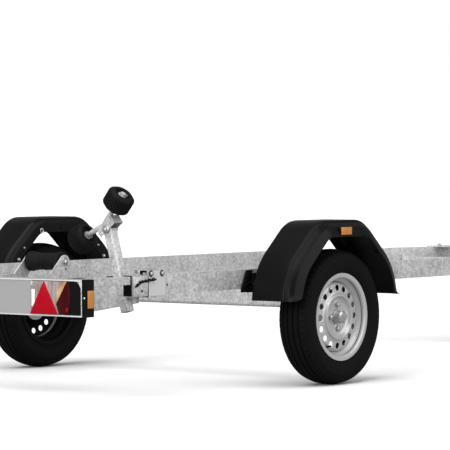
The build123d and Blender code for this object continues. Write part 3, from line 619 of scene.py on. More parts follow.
class Shape:
    """A mesh under way, made of turned, extruded and bent forms."""

    def __init__(self):
        self.mesh = bmesh.new()
        self.paint = 0

    def face(self, corners):
        distinct = tuple(dict.fromkeys(corners))
        if len(distinct) > 2:
            made = self.mesh.faces.new(distinct)
            made.material_index = self.paint
            made.smooth = True

    def grid(self, rows, close_rows=False, close_columns=True):
        """Quads between rows of points. A closed one joins its last row or column to its first."""
        made = [[self.mesh.verts.new(point) for point in row] for row in rows]
        self.skin(made, close_rows, close_columns)
        return made

    def skin(self, rows, close_rows=False, close_columns=True):
        """Quads between rows of vertices."""
        count = len(rows[0])
        for number in range(len(rows) if close_rows else len(rows) - 1):
            row = rows[number]
            other = rows[(number + 1) % len(rows)]
            for column in range(count if close_columns else count - 1):
                ahead = (column + 1) % count
                self.face((row[column], row[ahead], other[ahead], other[column]))

    def tube(self, rings):
        """Quads between rings of points, with both ends closed."""
        made = self.grid(rings)
        self.face(made[0][::-1])
        self.face(made[-1])
        return made

    def turn(self, place, outline, segments=32, closed=False):
        """Turn an outline of (radius, height) around the Z of a frame. Ends on the axis are closed."""
        turns = [2 * math.pi * step / segments for step in range(segments)]
        rows = []
        for radius, height in outline:
            if radius < MEET:
                rows.append([self.mesh.verts.new(place @ Vector((0, 0, height)))] * segments)
            else:
                rows.append([self.mesh.verts.new(place @ polar(radius, turn, height)) for turn in turns])
        self.skin(rows, close_rows=closed)

    def washer(self, place, hole, rim, edge, thickness, chamfer=1, segments=28):
        """A washer on a frame's origin, chamfered from its edge's height up. Its sizes are in millimetres."""
        ring = mm((hole, 0), (rim, 0), (rim, edge), (rim - chamfer, thickness), (hole, thickness))
        self.turn(place, ring, segments, closed=True)

    def slab(self, place, outline, low, high, soft=0, steps=2):
        """Extrude an outline in a frame's XY from low to high, with all its edges softened."""
        rows = self.tube([[place @ Vector((*point, level)) for point in outline] for level in (low, high)])
        if soft:
            edges = dict.fromkeys(edge for row in rows for vertex in row for edge in vertex.link_edges)
            bmesh.ops.bevel(
                self.mesh, geom=list(edges), offset=soft, segments=steps, profile=0.5, affect="EDGES",
                clamp_overlap=True,
            )

    def block(self, place, size, soft=0):
        """A softened box of this size, which stands on a frame's XY plane around its Z."""
        x, y, z = size
        outline = [(-x / 2, -y / 2), (x / 2, -y / 2), (x / 2, y / 2), (-x / 2, y / 2)]
        self.slab(place, outline, 0, z, soft)

    def rod(self, points, radius, segments=10):
        """A round rod along a line of points, with flat ends."""
        line = [Vector(point) for point in points]
        rings = []
        side = None
        for number, point in enumerate(line):
            before = line[max(0, number - 1)]
            after = line[min(len(line) - 1, number + 1)]
            along = (after - before).normalized()
            side = along.orthogonal() if side is None else side - along * side.dot(along)
            side.normalize()
            other = along.cross(side)
            ring = [polar(radius, 2 * math.pi * step / segments) for step in range(segments)]
            rings.append([point + side * across + other * up for across, up in ring])
        self.tube(rings)

    def bolt(self, place, thread, washer=True, tail=0):
        """A hexagon head on its washer at a frame's origin, with this much thread sticking out of it."""
        level = 0
        if washer:
            level = WASHER_THICKNESS * thread
            ring = [(radius * thread, height * thread) for radius, height in WASHER_LINE]
            self.turn(place, ring, segments=24, closed=True)
        outline = [polar(HEAD_CORNER * thread, math.radians(60 * corner + HEAD_TURN)) for corner in range(6)]
        crown = level + HEAD_HEIGHT * thread
        self.slab(place, outline, level, crown, HEAD_SOFT * thread)
        line = [(radius * thread, crown + height * thread) for radius, height in CROWN_LINE]
        if tail:
            tip = crown + tail
            line = [(0.5 * thread, crown), (0.5 * thread, tip - 0.1 * thread), (0.42 * thread, tip), (0, tip)]
        self.turn(place, line, segments=16)

    def eyelet(self, place, radius):
        """The rim of a drilled hole, standing just proud, with its dark bottom, a painted shadow, as paint 1.
        """
        lip = EYELET_LIP * MM
        for paint, line in enumerate((EYELET_RIM, EYELET_FLOOR)):
            self.paint = paint
            self.turn(place, [(share * radius, height * lip) for share, height in line], segments=24)
        self.paint = 0

    def close(self):
        """Join the points that meet, and turn every face outward."""
        bmesh.ops.remove_doubles(self.mesh, verts=self.mesh.verts, dist=MEET)
        bmesh.ops.recalc_face_normals(self.mesh, faces=self.mesh.faces)

    def publish(self, name, body, finishes, slot=None, replaces=None, sharp=35):
        """Close the mesh, give it its finishes and let it ride. The slot, by default its first finish's, is
        not used.
        """
        self.close()
        data = bpy.data.meshes.new(name)
        self.mesh.to_mesh(data)
        self.mesh.free()
        data.set_sharp_from_angle(angle=math.radians(sharp))
        for finish in finishes.split():
            data.materials.append(finish_named(finish))
        piece = add_object(name, data)
        slot = slot or finishes.split()[0]
        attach(piece, body)
        if replaces:
            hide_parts(replaces)


def centre_of(node):
    """Middle of a node's box."""
    low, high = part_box(node)
    return (low + high) / 2


def wheel_frame(name, side):
    """The frame of a road wheel: origin at its centre, Z outboard along its axle."""
    return seat(centre_of(f"tyre_{name}"), (0, side, 0))


# ---------------------------------------------------------------- stage
WHITE = (1, 1, 1)
SENSOR_WIDTH = 36  # millimetres
SIGHT = 500  # metres that the camera sees
SUNS = (  # (name, towards the sun, degrees across, setting of its strength)
    ("key_sun", (-0.95, -0.05, 0.3), 40, "key_strength"),
    ("top_sun", (-0.35, -0.1, 0.92), 62, "top_strength"),
    ("fill_sun", (0.25, -0.88, 0.4), 60, "fill_strength"),
)


class TRAILER_OT_stage(Operator):
    """Set the camera, the soft lights, the white surroundings and the floor"""

    bl_idname = "trailer.stage"
    bl_label = "Stage"

    def execute(self, context):
        stage = context.scene.trailer_stage
        context.scene.view_settings.view_transform = "Standard"
        self.set_camera(context, stage)
        self.set_world(context, stage)
        for name, towards, spread, setting in SUNS:
            light = bpy.data.lights.new(name, "SUN")
            light.energy = getattr(stage, setting)
            light.angle = math.radians(spread)
            add_object(name, light).rotation_euler = Vector(towards).to_track_quat("Z", "Y").to_euler()
        self.lay_floor(stage)
        return {"FINISHED"}

    def set_camera(self, context, stage):
        lens = bpy.data.cameras.new("camera")
        lens.lens = stage.camera_lens
        lens.sensor_width = SENSOR_WIDTH
        lens.clip_end = SIGHT
        camera = add_object("camera", lens)
        pan, pitch = stage.camera_pan, stage.camera_pitch
        ahead = polar(math.cos(pitch), pan, -math.sin(pitch))
        turned = ahead.to_track_quat("-Z", "Y") @ Quaternion((0, 0, 1), -stage.camera_roll)
        camera.matrix_world = Matrix.Translation(stage.camera_place) @ turned.to_matrix().to_4x4()
        context.scene.camera = camera

    def mixed(self, f, others, seen):
        """One shader for the rays that show the background itself, and another for all others."""
        camera = f.node("LightPath", output="Is Camera Ray")
        through = f.node("LightPath", output="Is Transmission Ray")
        return f.node("MixShader", sockets={0: camera.larger(through), 1: others, 2: seen})

    def set_world(self, context, stage):
        world = bpy.data.worlds.new("studio")
        context.scene.world = world
        f = Finish(world)
        white = f.node("Background", sockets={"Color": WHITE, "Strength": 1.0})
        dim = f.node("Background", sockets={"Color": WHITE, "Strength": stage.sky_light})
        f.node("OutputWorld", sockets={"Surface": self.mixed(f, dim, white)})

    def lay_floor(self, stage):
        shape = bmesh.new()
        half = stage.floor_half
        corners = ((-half, -half, 0), (half, -half, 0), (half, half, 0), (-half, half, 0))
        shape.faces.new([shape.verts.new(corner) for corner in corners])
        data = bpy.data.meshes.new("floor")
        shape.to_mesh(data)
        shape.free()
        floor = add_object("floor", data)
        material = bpy.data.materials.new("floor_white")
        f = Finish(material)
        seen = f.node("BsdfDiffuse", sockets={"Color": stage.floor_seen})
        dull = f.node("BsdfDiffuse", sockets={"Color": stage.floor_bounce})
        f.node("OutputMaterial", sockets={"Surface": self.mixed(f, dull, seen)})
        data.materials.append(material)


# ---------------------------------------------------------------- finishes of the frame


class TRAILER_OT_frame_finish(Operator):
    """Give every part of the frame the finish that the record names for it"""

    bl_idname = "trailer.frame_finish"
    bl_label = "Frame finish"

    def execute(self, context):
        for part in frame["record"]["subparts"]:
            node = frame["nodes"][part["node"]]
            node.data.materials.clear()
            node.data.materials.append(finish_named(part["material_slot"]))
        return {"FINISHED"}


# ---------------------------------------------------------------- tyres
TREAD_LINE = (  # (millimetres from the middle, share of the tread depth, depth of sipes A and B)
    (0, 0, 0, 0), (4, 0, 0, 0), (4.5, 0, 0, 3), (11, 0, 0, 3), (12, 1, 0, 0),
    (16, 1, 0, 0), (17, 0, 3, 0), (24, 0, 3, 0), (24.5, 0, 0, 0), (29, 0, 0, 0),
    (29.5, 0, 0, 3), (35, 0, 0, 3), (36, 1, 0, 0), (40, 1, 0, 0), (41, 0, 0, 0),
    (45, 0, 0, 0), (45.5, 0, 4, 0), (58, 0, 4, 0), (61, 0.12, 4, 0),
)
WALL_LINE = (  # (radius in millimetres, millimetres proud of the wall's arc, depth of sipes A)
    (265, 0.6, 3), (261, 0.8, 2.5), (257, 0.8, 0), (255, -0.8, 0), (249, -0.8, 0), (248, 0, 0),
    (238, 0, 0), (237, 0.6, 0), (235, 0.6, 0), (234, 0, 0), (224, 0, 0), (214, 0, 0),
    (204, 0, 0), (203, 0.7, 0), (201, 0.7, 0), (200, 0, 0), (196, 0, 0), (194, 1.2, 0),
    (190, 1.4, 0), (187, 0, 0), (183.5, 0, 0),
)
PITCH_COLUMNS = (  # (share of a tread pitch, sipes A open, sipes B open)
    (0, 0, 0), (0.03, 1, 0), (0.10, 1, 0), (0.13, 0, 0), (0.31, 0, 0),
    (0.50, 0, 0), (0.53, 0, 1), (0.60, 0, 1), (0.63, 0, 0), (0.81, 0, 0),
)
TREAD_SHOULDER = 13  # from the tyre's edge to where tread and wall meet, both ways
WALL_FOOT = (184, 57.7)  # (radius, millimetres from the middle) where the wall's arc leaves the rim
WALL_BELLY = 226  # radius where the tyre is widest
BORE_LINE = ((57.5, 166), (46, 166), (46, 186), (62, 226), (50, 256), (0, 258))  # (from the middle, radius)
NICK_SHARE = 0.6  # of a wall sipe's depth that shows


def arc_through(low, middle, high):
    """Centre and radius of the arc through three (radius, offset) points."""
    (ax, ay), (bx, by), (cx, cy) = low, middle, high
    d = 2 * (ax * (by - cy) + bx * (cy - ay) + cx * (ay - by))
    a2, b2, c2 = ax * ax + ay * ay, bx * bx + by * by, cx * cx + cy * cy
    centre = Vector(((a2 * (by - cy) + b2 * (cy - ay) + c2 * (ay - by)) / d,
                     (a2 * (cx - bx) + b2 * (ax - cx) + c2 * (bx - ax)) / d))
    return centre, (Vector(low) - centre).length


class TRAILER_OT_tyres(Operator):
    """Build both tyres, with grooves, sipes and moulded rings, in place of the plain ones"""

    bl_idname = "trailer.tyres"
    bl_label = "Tyres"

    def execute(self, context):
        sizes = context.scene.trailer_sizes
        for name, side in SIDES:
            low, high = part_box(f"tyre_{name}")
            self.build(name, side, (high.z - low.z) / 2, (high.y - low.y) / 2, sizes)
        return {"FINISHED"}

    def build(self, name, side, radius, half, sizes):
        shoulder, edge = half - TREAD_SHOULDER * MM, radius - TREAD_SHOULDER * MM
        crown = (shoulder ** 2 + (radius - edge) ** 2) / (2 * (radius - edge))
        wall, wall_radius = arc_through(*mm(WALL_FOOT), (WALL_BELLY * MM, half), (edge, shoulder))
        stations = []
        for out, share, sipe_a, sipe_b in TREAD_LINE:
            height = radius - crown + math.sqrt(crown ** 2 - (out * MM) ** 2) - share * sizes.tread_depth
            stations.append((out * MM, height, sipe_a * MM, sipe_b * MM, 0))
        for at, proud, sipe in WALL_LINE:
            out = wall.y + math.sqrt(max(0, wall_radius ** 2 - (at * MM - wall.x) ** 2))
            stations.append((min(half, out + proud * MM), at * MM, 0, 0, sipe * MM))
        stations += [(out, at, 0, 0, 0) for out, at in mm(*BORE_LINE)]
        place = wheel_frame(name, side)
        rows = []
        for end in (1, -1):
            half_rows = []
            for out, height, sipe_a, sipe_b, notch in stations:
                first, second = (sipe_a, sipe_b) if end > 0 else (sipe_b, sipe_a)
                row = []
                for pitch in range(sizes.tread_pitches):
                    for share, open_a, open_b in PITCH_COLUMNS:
                        turn = 2 * math.pi * (pitch + share) / sizes.tread_pitches
                        cut = open_a * first + open_b * second
                        nick = notch * (open_a if end > 0 else open_b) * NICK_SHARE
                        row.append(place @ polar(height - cut, turn, end * (out - nick)))
                half_rows.append(row)
            rows += half_rows if end > 0 else half_rows[-2:0:-1]
        shape = Shape()
        shape.grid(rows, close_rows=True)
        shape.publish(f"tyre_{name}_treaded", f"road_wheel_{name}", "tyre_rubber",
                      replaces=f"tyre_{name}", sharp=28)


# ---------------------------------------------------------------- wheels
RIM_LINE = (  # (offset outboard of the wheel's middle, radius, bend)
    (59.8, 181.6, 0), (59.8, 163, 5), (48, 163, 0), (44, 164, 3), (36, 163, 6),
    (23, 147.8, 6), (-21, 147.8, 6), (-36, 163, 6), (-59.8, 163, 5), (-59.8, 181.6, 0),
)
DISC_LINE = (  # (radius, offset outboard of the wheel's middle, bend)
    (145.5, 12, 0), (144, 27, 7), (134, 36, 6), (106, 38.5, 6), (98, 42, 5),
    (93, 49.5, 3), (86, 49.5, 3), (78, 38, 6), (68, 33.5, 8), (29, 32, 0),
)
RIM_SHEET = 3.4
DISC_SHEET = 3.6
PAINTED_SHADE_EDGE = 14  # outboard of the wheel's middle, where the painted shade of its inboard side begins
PAINTED_SHADE_FACING = -0.2  # cosine between the axle and a face, below which the face is inboard and takes the painted shade
STAR_LINE = (30, 74, 4.5)  # (inner radius, outer radius, height) of the star pressed out around the bolts
STAR_RADII = (62, 56, 50, 44, 38, 33)  # of the rings of points that carry the star
VENT_BORDER = 4  # millimetres from a vent's edge to the border of its patch
VENT_STEPS = 6  # along each side of a vent's patch
VENT_ROWS = (  # (share of the way out to the border, millimetres outside the hole, millimetres sunk)
    (1, 0, 0), (0.5, 0, 0), (0, 1.6, 0), (0, 0.5, 0.5), (0, 0, 1.8),
)
LUG_SEAT = 35  # millimetres outboard of the wheel's middle
LUG_CONE = ((7, 0), (11.5, 3.5), (11.5, 5), (9, 5.2))  # (radius, height)
LUG_HEAD = (4.6, 11)  # (height above the seat, thread)
LUG_TURN = 0.2  # radians
CAP_LINE = (  # (radius, millimetres outboard of the wheel's middle, bend)
    (25, 34, 0), (29, 34, 1), (29, 37.5, 1), (22.5, 39, 2), (21.5, 58, 6), (15, 68.5, 6), (0, 69.8, 0),
)
VALVE_TURN, VALVE_LEAN = 240, -14  # degrees
VALVE_FOOT = (142, 28)  # (radius, millimetres outboard of the wheel's middle)
VALVE_LINE = (  # (radius, height)
    (0, -4), (8, -4), (8, 0), (6, 3), (4.2, 8), (3.8, 15),
    (3.8, 16), (4.6, 16.5), (4.6, 23), (3.4, 25), (0, 25),
)


class TRAILER_OT_wheels(Operator):
    """Build the pressed wheels with their vents, bolts, dust caps and valves"""

    bl_idname = "trailer.wheels"
    bl_label = "Wheels"

    def execute(self, context):
        sizes = context.scene.trailer_sizes
        for name, side in SIDES:
            place = wheel_frame(name, side)
            shape = Shape()
            self.add_rim(shape, place)
            self.add_disc(shape, place, sizes)
            # paint 1 of a wheel is black painted shade on its inboard side
            self.paint_inboard_shade(shape, place)
            shape.publish(f"wheel_{name}_pressed", f"road_wheel_{name}", "silver_paint black_paint",
                          replaces=f"wheel_{name}", sharp=40)
            self.add_bolts(name, place, sizes)
            self.add_cap(name, place)
            self.add_valve(name, place)
        return {"FINISHED"}

    def add_rim(self, shape, place):
        line = rounded(mm(*RIM_LINE))
        outline = [(point.y, point.x) for point in thick(line, RIM_SHEET * MM)]
        shape.turn(place, outline, segments=96, closed=True)

    def paint_inboard_shade(self, shape, place):
        """Paint the inboard side of a wheel black as paint 1: painted shade, where that side lies in shadow.
        """
        shape.close()
        inverse = place.inverted()
        axle = place.to_3x3() @ Vector((0, 0, 1))
        for face in shape.mesh.faces:
            offset = (inverse @ face.calc_center_median()).z
            face.material_index = int(offset < PAINTED_SHADE_EDGE * MM or face.normal.dot(axle) < PAINTED_SHADE_FACING)

    def disc_point(self, line, sizes, radius, turn, sink=0):
        """A point of the disc, with its star pressed out around the bolts."""
        offset = height_at(line, radius)
        inner, outer, height = metres(STAR_LINE)
        if inner < radius < outer:
            window = math.sin(math.pi * (radius - inner) / (outer - inner))
            lobe = max(0, math.cos(sizes.lug_count * turn)) ** 2
            offset += height * lobe * window
        return polar(radius, turn, offset - sink)

    def add_disc(self, shape, place, sizes):
        line = rounded(mm(*DISC_LINE))
        columns = VENT_STEPS * sizes.vent_count
        half_sector = math.pi / sizes.vent_count
        turns = [2 * math.pi * step / columns - half_sector for step in range(columns)]
        reach = sizes.vent_radius + VENT_BORDER * MM
        patch = sizes.vent_circle - reach, sizes.vent_circle + reach
        outer = [point.x for point in line if point.x > patch[1]] + [patch[1]]
        inner = [patch[0]] + [point.x for point in line if point.x < patch[0]] + [*metres(STAR_RADII)]
        for back in (0, DISC_SHEET * MM):
            for radii in (sorted(outer), sorted(inner)):
                shape.grid([[place @ self.disc_point(line, sizes, radius, turn, back) for turn in turns]
                            for radius in radii])
            for vent in range(sizes.vent_count):
                self.add_vent(shape, place, line, sizes, 2 * half_sector * vent, patch, back)
        for radius in (min(inner), max(outer)):
            shape.grid([[place @ self.disc_point(line, sizes, radius, turn, back) for turn in turns]
                        for back in (0, DISC_SHEET * MM)])

    def add_vent(self, shape, place, line, sizes, middle, patch, back):
        """A patch of the disc around one vent, from the patch's border to the vent's rolled edge."""
        near, far = patch
        half = math.pi / sizes.vent_count
        corners = ((near, -half), (near, half), (far, half), (far, -half))
        border = []
        for (radius, turn), (next_radius, next_turn) in zip(corners, corners[1:] + corners[:1]):
            for share in (step / VENT_STEPS for step in range(VENT_STEPS)):
                border.append((radius + (next_radius - radius) * share, turn + (next_turn - turn) * share))
        rows = []
        for share, rim, sink in VENT_ROWS:
            row = []
            for radius, turn in border:
                edge = polar(radius, turn) - Vector((sizes.vent_circle, 0))
                hole = edge.normalized() * (sizes.vent_radius + rim * MM)
                spot = hole.lerp(edge, share) + Vector((sizes.vent_circle, 0))
                dip = (DISC_SHEET - sink) * MM if back else sink * MM
                point = self.disc_point(line, sizes, spot.length, middle + math.atan2(spot.y, spot.x), dip)
                row.append(place @ point)
            rows.append(row)
        shape.grid(rows)

    def add_bolts(self, name, place, sizes):
        shape = Shape()
        raised, thread = metres(LUG_HEAD)
        for number in range(sizes.lug_count):
            turn = 2 * math.pi * number / sizes.lug_count
            foot = polar(sizes.lug_circle, turn, LUG_SEAT * MM)
            seated = place @ Matrix.Translation(foot) @ Matrix.Rotation(turn + LUG_TURN, 4, "Z")
            shape.turn(seated, mm(*LUG_CONE), segments=24)
            shape.bolt(seated @ Matrix.Translation((0, 0, raised)), thread, washer=False)
        shape.publish(f"wheel_bolts_{name}", f"road_wheel_{name}", "zinc_plate")

    def add_cap(self, name, place):
        shape = Shape()
        shape.turn(place, pairs(rounded(mm(*CAP_LINE))), segments=48)
        shape.publish(f"dust_cap_{name}", f"road_wheel_{name}", "zinc_plate")

    def add_valve(self, name, place):
        shape = Shape()
        turn = math.radians(VALVE_TURN)
        radius, offset = metres(VALVE_FOOT)
        foot = place @ Matrix.Translation(polar(radius, turn, offset)) @ Matrix.Rotation(turn, 4, "Z")
        shape.turn(foot @ Matrix.Rotation(math.radians(VALVE_LEAN), 4, "Y"), mm(*VALVE_LINE), segments=20)
        shape.publish(f"valve_{name}", f"road_wheel_{name}", "roller_rubber")


# ---------------------------------------------------------------- fenders
FENDER_FLAT = 104  # half of the arch's level top
FENDER_SLOPE = 41  # degrees, between the arch's curves
FENDER_CURVES = (148, 290)  # radius beside the top and above a foot
FENDER_SECTION = (  # (from the middle plane, below the arch's top, bend)
    (694, 65, 0), (687, 65, 2), (687, 2, 23), (857, 2, 5), (862, 14, 3),
    (873, 15, 3), (888.5, 29, 5), (905.5, 66, 2), (899, 66.5, 0),
)
FENDER_LIP = (891, 28, 908, 67)  # the leaning lip's upper and lower edge, as above
FENDER_CORNER = 40  # radius of the lip's corner at a foot
FENDER_LIP_BAND = 12  # inboard of the lip's upper edge, where that corner's rounding begins
FENDER_SHEET = 0.9  # share of the wall that the moulded sheet takes
FENDER_FLANGE = 685  # the inner face, from the middle plane
ARC_STEPS = 14
STUD_LINE = ((11, -1), (11, 2.5), (9.5, 4), (4.5, 4.4), (4.5, 10), (3.5, 11), (0, 11.2))  # (radius, height)
STUD_ROWS = (703, 846)  # from the middle plane
STUD_PLACE = (281, 137)  # (along from the arch's middle, below its top)
FLANGE_BOLTS = ((287, 496, 8), (250, 547, 5))  # (along from the arch's middle, height, thread)
CROWN_BOLTS = (632, 644)  # heights
RING_PLACE = (-133, 621)  # (along from the arch's middle, height)
RING_LINE = ((6, 0), (12, 0), (12, 1.6), (10, 2.6), (7, 2), (6, 0.8))  # (radius, height)
REFLECTOR_LENS = (5, 3, 4)  # (shorter, lower than its tray, depth)
REFLECTOR_SUNK = 0.5  # into its tray
WEDGE_FOOT = (2, 5)  # (inboard of, above) the lip's lower edge


class TRAILER_OT_fenders(Operator):
    """Build the moulded fenders with rounded creases, studs, bolts and side reflectors"""

    bl_idname = "trailer.fenders"
    bl_label = "Fenders"

    def execute(self, context):
        sizes = context.scene.trailer_sizes
        for name, side in SIDES:
            low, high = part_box(f"fender_{name}")
            middle = Vector(((low.x + high.x) / 2, 0, 0))
            self.build(name, side, middle, low, high, sizes)
            self.add_bolts(name, side, middle, high.z)
            self.add_reflector(name, side, high.z)
        return {"FINISHED"}

    def arch(self, half, low, top):
        """The arch's outline from its rear foot to its front foot."""
        crown, foot = metres(FENDER_CURVES)
        slope = math.radians(FENDER_SLOPE)
        run = half - foot * (1 - math.sin(slope)) - FENDER_FLAT * MM - crown * math.sin(slope)
        foot_z = top - crown + (crown - foot) * math.cos(slope) - run * math.tan(slope)
        line = []
        for centre, radius, start, end in (
            (Vector((FENDER_FLAT * MM, top - crown)), crown, 0, slope),
            (Vector((half - foot, foot_z)), foot, slope, math.acos((low - foot_z) / foot)),
        ):
            for step in range(ARC_STEPS + 1):
                turn = start + (end - start) * step / ARC_STEPS
                line.append(centre + radius * Vector((math.sin(turn), math.cos(turn))))
        return [Vector((-point.x, point.y)) for point in line[::-1]] + line

    def build(self, name, side, middle, low, high, sizes):
        section = thick(rounded(mm(*FENDER_SECTION), steps=4), sizes.fender_wall * FENDER_SHEET)
        path = self.arch((high.x - low.x) / 2, low.z, high.z)
        lip_top, _, _, lip_drop = metres(FENDER_LIP)
        corner = FENDER_CORNER * MM
        rows = []
        for point, step in zip(path, sidesteps(path)):
            rise = min(1, (point.y - low.z) / corner)
            short = corner * (1 - math.sqrt(1 - (1 - rise) ** 2))
            row = []
            for out, inset in section:
                if out > lip_top - FENDER_LIP_BAND * MM:
                    inset -= short * max(0, inset / lip_drop)
                z = max(low.z, point.y - step.y * inset)
                row.append(middle + Vector((point.x - step.x * inset, side * out, z)))
            rows.append(row)
        shape = Shape()
        made = shape.grid(rows)
        for row in (made[0], made[-1]):
            shape.face(row)
        shape.publish(f"fender_{name}_moulded", "frame", "black_plastic", replaces=f"fender_{name}", sharp=42)

    def add_bolts(self, name, side, middle, top):
        """Black studs through the slopes, and small bolts through the inner flange into the stays."""
        studs, bolts = Shape(), Shape()
        slope = math.radians(FENDER_SLOPE)
        inward = (0, -side, 0)
        outline = mm(*STUD_LINE)
        flange = side * FENDER_FLANGE * MM
        along, drop = metres(STUD_PLACE)
        for end in (-1, 1):
            upward = (end * math.sin(slope), 0, math.cos(slope))
            for out in metres(STUD_ROWS):
                foot = middle + Vector((end * along, side * out, top - drop))
                studs.turn(seat(foot, upward), outline, segments=20)
            for x, z, thread in mm(*FLANGE_BOLTS):
                bolts.bolt(seat(middle + Vector((end * x, flange, z)), inward), thread, tail=2 * MM)
        for z in metres(CROWN_BOLTS):
            studs.bolt(seat(middle + Vector((0, flange, z)), inward), M5, tail=1 * MM)
        x, z = metres(RING_PLACE)
        bolts.turn(seat(middle + Vector((x, flange, z)), inward), mm(*RING_LINE), segments=28, closed=True)
        studs.publish(f"fender_studs_{name}", "frame", "black_plastic")
        bolts.publish(f"fender_bolts_{name}", "frame", "zinc_plate")

    def add_reflector(self, name, side, top):
        """An upright prism reflector on its black wedge, which sits on the leaning lip."""
        low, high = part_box("fender_reflectors")
        lip_top, drop_top, lip_low, drop_low = metres(FENDER_LIP)
        shorter, lower, depth = metres(REFLECTOR_LENS)
        inboard, above = metres(WEDGE_FOOT)
        outline = [(lip_top, top - drop_top), (lip_low - inboard, top - drop_low + above),
                   (high.y - depth, low.z), (high.y - depth, high.z)]
        wedge = Matrix(((0, 0, 1, low.x), (side, 0, 0, 0), (0, 1, 0, 0), (0, 0, 0, 1)))
        tray = Shape()
        tray.slab(wedge, outline, 0, high.x - low.x, soft=1.2 * MM)
        tray.publish(f"side_reflector_tray_{name}", "frame", "black_plastic", replaces="fender_reflectors")
        lens = Shape()
        out = high.y - depth - REFLECTOR_SUNK * MM
        middle = Vector(((low.x + high.x) / 2, side * out, (low.z + high.z) / 2))
        size = (high.x - low.x - shorter, high.z - low.z - lower, depth)
        lens.block(seat(middle, (0, side, 0)), size, soft=1 * MM)
        lens.publish(f"side_reflector_{name}", "frame", "amber_reflector")


# ---------------------------------------------------------------- rollers
SIDE_ROLLER_LINE = ((39, 33, 0), (39, 44, 6), (27, 56, 14), (-27, 56, 14), (-39, 44, 6), (-39, 33, 0))
SIDE_ROLLER_EDGE = 38.9  # from the middle, beyond which its outline is the end's own
SIDE_ROLLER_MOUTH = (39, 41)  # (from the middle, radius) where an end turns into its recess
RECESS_LINE = ((38.5, 34.5), (37, 33.2), (26, 31), (25, 29), (25, 11))  # (from the middle, radius)
RIB_ROWS = ((-31, -13), (-10, 10), (13, 31))
RIB_SLOPE = 0.4  # along the roller, on each side of the end of a row
RIB_FOOT = 42  # radius that the ribs' hollows reach down to
RIB_COLUMNS = ((0, 0), (0.12, 1), (0.50, 1), (0.62, 0))  # (share of a rib's pitch, raised)


def axle_of(body):
    """Frame of a moving body's axle, from its joint: origin on it, Z along it."""
    joint = next(joint for joint in frame["record"]["behaviour"]["joints"] if joint["child"] == body)
    return seat(joint["pos_m"], joint["axis"])


class TRAILER_OT_rollers(Operator):
    """Build the ribbed side rollers and the waisted keel roller"""

    bl_idname = "trailer.rollers"
    bl_label = "Rollers"

    def execute(self, context):
        sizes = context.scene.trailer_sizes
        for name, _ in SIDES:
            for place in ("inner", "outer"):
                body = f"roller_{name}_{place}"
                self.side_roller(f"side_roller_{name}_{place}", body, axle_of(body), sizes)
        self.keel_roller()
        return {"FINISHED"}

    def side_roller(self, node, body, place, sizes):
        line = rounded(mm(*SIDE_ROLLER_LINE), steps=5)
        rows = mm(*RIB_ROWS)
        nudges = (-RIB_SLOPE * MM, RIB_SLOPE * MM)
        offsets = {point.x for point in line if abs(point.x) < SIDE_ROLLER_EDGE * MM}
        offsets |= {edge + nudge for row in rows for edge in row for nudge in nudges}
        out, mouth = metres(SIDE_ROLLER_MOUTH)
        recess = [(out, mouth, None)] + [(*spot, None) for spot in mm(*RECESS_LINE)]
        stations = [(-out, radius, None) for out, radius, _ in recess[::-1]]
        for offset in sorted(offsets):
            number = next((n for n, (low, high) in enumerate(rows) if low < offset < high), None)
            stations.append((offset, height_at(line, offset), number))
        grid = []
        for offset, radius, number in stations + recess:
            shift = 0.5 if number == 1 else 0
            ring = []
            for rib in range(sizes.rib_count):
                for share, raised in RIB_COLUMNS:
                    turn = 2 * math.pi * (rib + share + shift) / sizes.rib_count
                    hollow = not raised if number is not None else radius > RIB_FOOT * MM
                    ring.append(place @ polar(radius - sizes.rib_height * hollow, turn, offset))
            grid.append(ring)
        shape = Shape()
        shape.grid(grid, close_rows=True)
        shape.publish(f"{node}_ribbed", body, "roller_rubber", replaces=node, sharp=30)

    def keel_roller(self):
        low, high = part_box("keel_roller")
        half, radius = (high.y - low.y) / 2, (high.z - low.z) / 2
        corners = [(11 * MM, half, 0), (14 * MM, half - 6 * MM, 1 * MM), (24 * MM, half - 6 * MM, 2 * MM),
                   (28 * MM, half, 2 * MM), (radius, half, 5 * MM), (radius, half - 16 * MM, 2 * MM),
                   (radius - 3 * MM, half - 20 * MM, 3 * MM), (radius - 6.5 * MM, half * KEEL_WAIST, 60 * MM),
                   (radius - 7 * MM, 4 * MM, 2 * MM), (radius - 5.5 * MM, 2 * MM, 1 * MM),
                   (radius - 5.5 * MM, 0, 0)]
        bore = [(8.5 * MM, -half + 6 * MM), (8.5 * MM, half - 6 * MM)]
        outline = mirrored(rounded(corners, steps=4)) + bore
        shape = Shape()
        shape.turn(seat((low + high) / 2, (0, 1, 0)), outline, segments=64, closed=True)
        shape.publish("keel_roller_moulded", "keel_roller", "roller_rubber", replaces="keel_roller", sharp=40)


# ---------------------------------------------------------------- supports of the hull
SHAFT_TIP = 38.4  # millimetres from a side roller's middle
SHAFT_LINE = ((10, -6), (10.2, -1), (9, 0.5), (4, 0.6), (3.4, 0.1), (0, 0.1))  # (radius, height)
CLIP_OFFSET = 33.5  # from a side roller's middle
CLIP_LINE = (  # points along a spring clip, across its shaft
    (-13, 0, 0), (13, 0, 0), (18, 2, 0), (20, 7, 0), (17, 11.5, 0), (10, 11.2, 0), (3, 10.4, 0), (-4, 12, 0),
)
CLIP_WIRE = 1.5  # radius
PIVOT_WASHER = (6.5, 15, 1.4, 2)  # (hole, rim, its edge's height, thickness), as for each washer
POST_FOOT = (597, 342)  # (from the middle plane, height)
POST_BOLTS = (0.28, 0.42)  # shares of the way up a post, from its foot to its pivot
KEEL_PIN = (7.9, 5.4)  # (washer, bolt head) inboard of the bracket's ends
KEEL_WASHER = (8.2, 17, 1.6, 2.4)
KEEL_HOLE = (4, 30, 4.5)  # (ahead of, below the roller's axle, radius)
KEEL_FACE = 7.85  # inboard of the bracket's ends
KEEL_BASE = (26, 92)  # its bolts, from its rear edge
KEEL_BASE_OUT = 62
KEEL_WAIST = 0.35  # share of the roller's half length


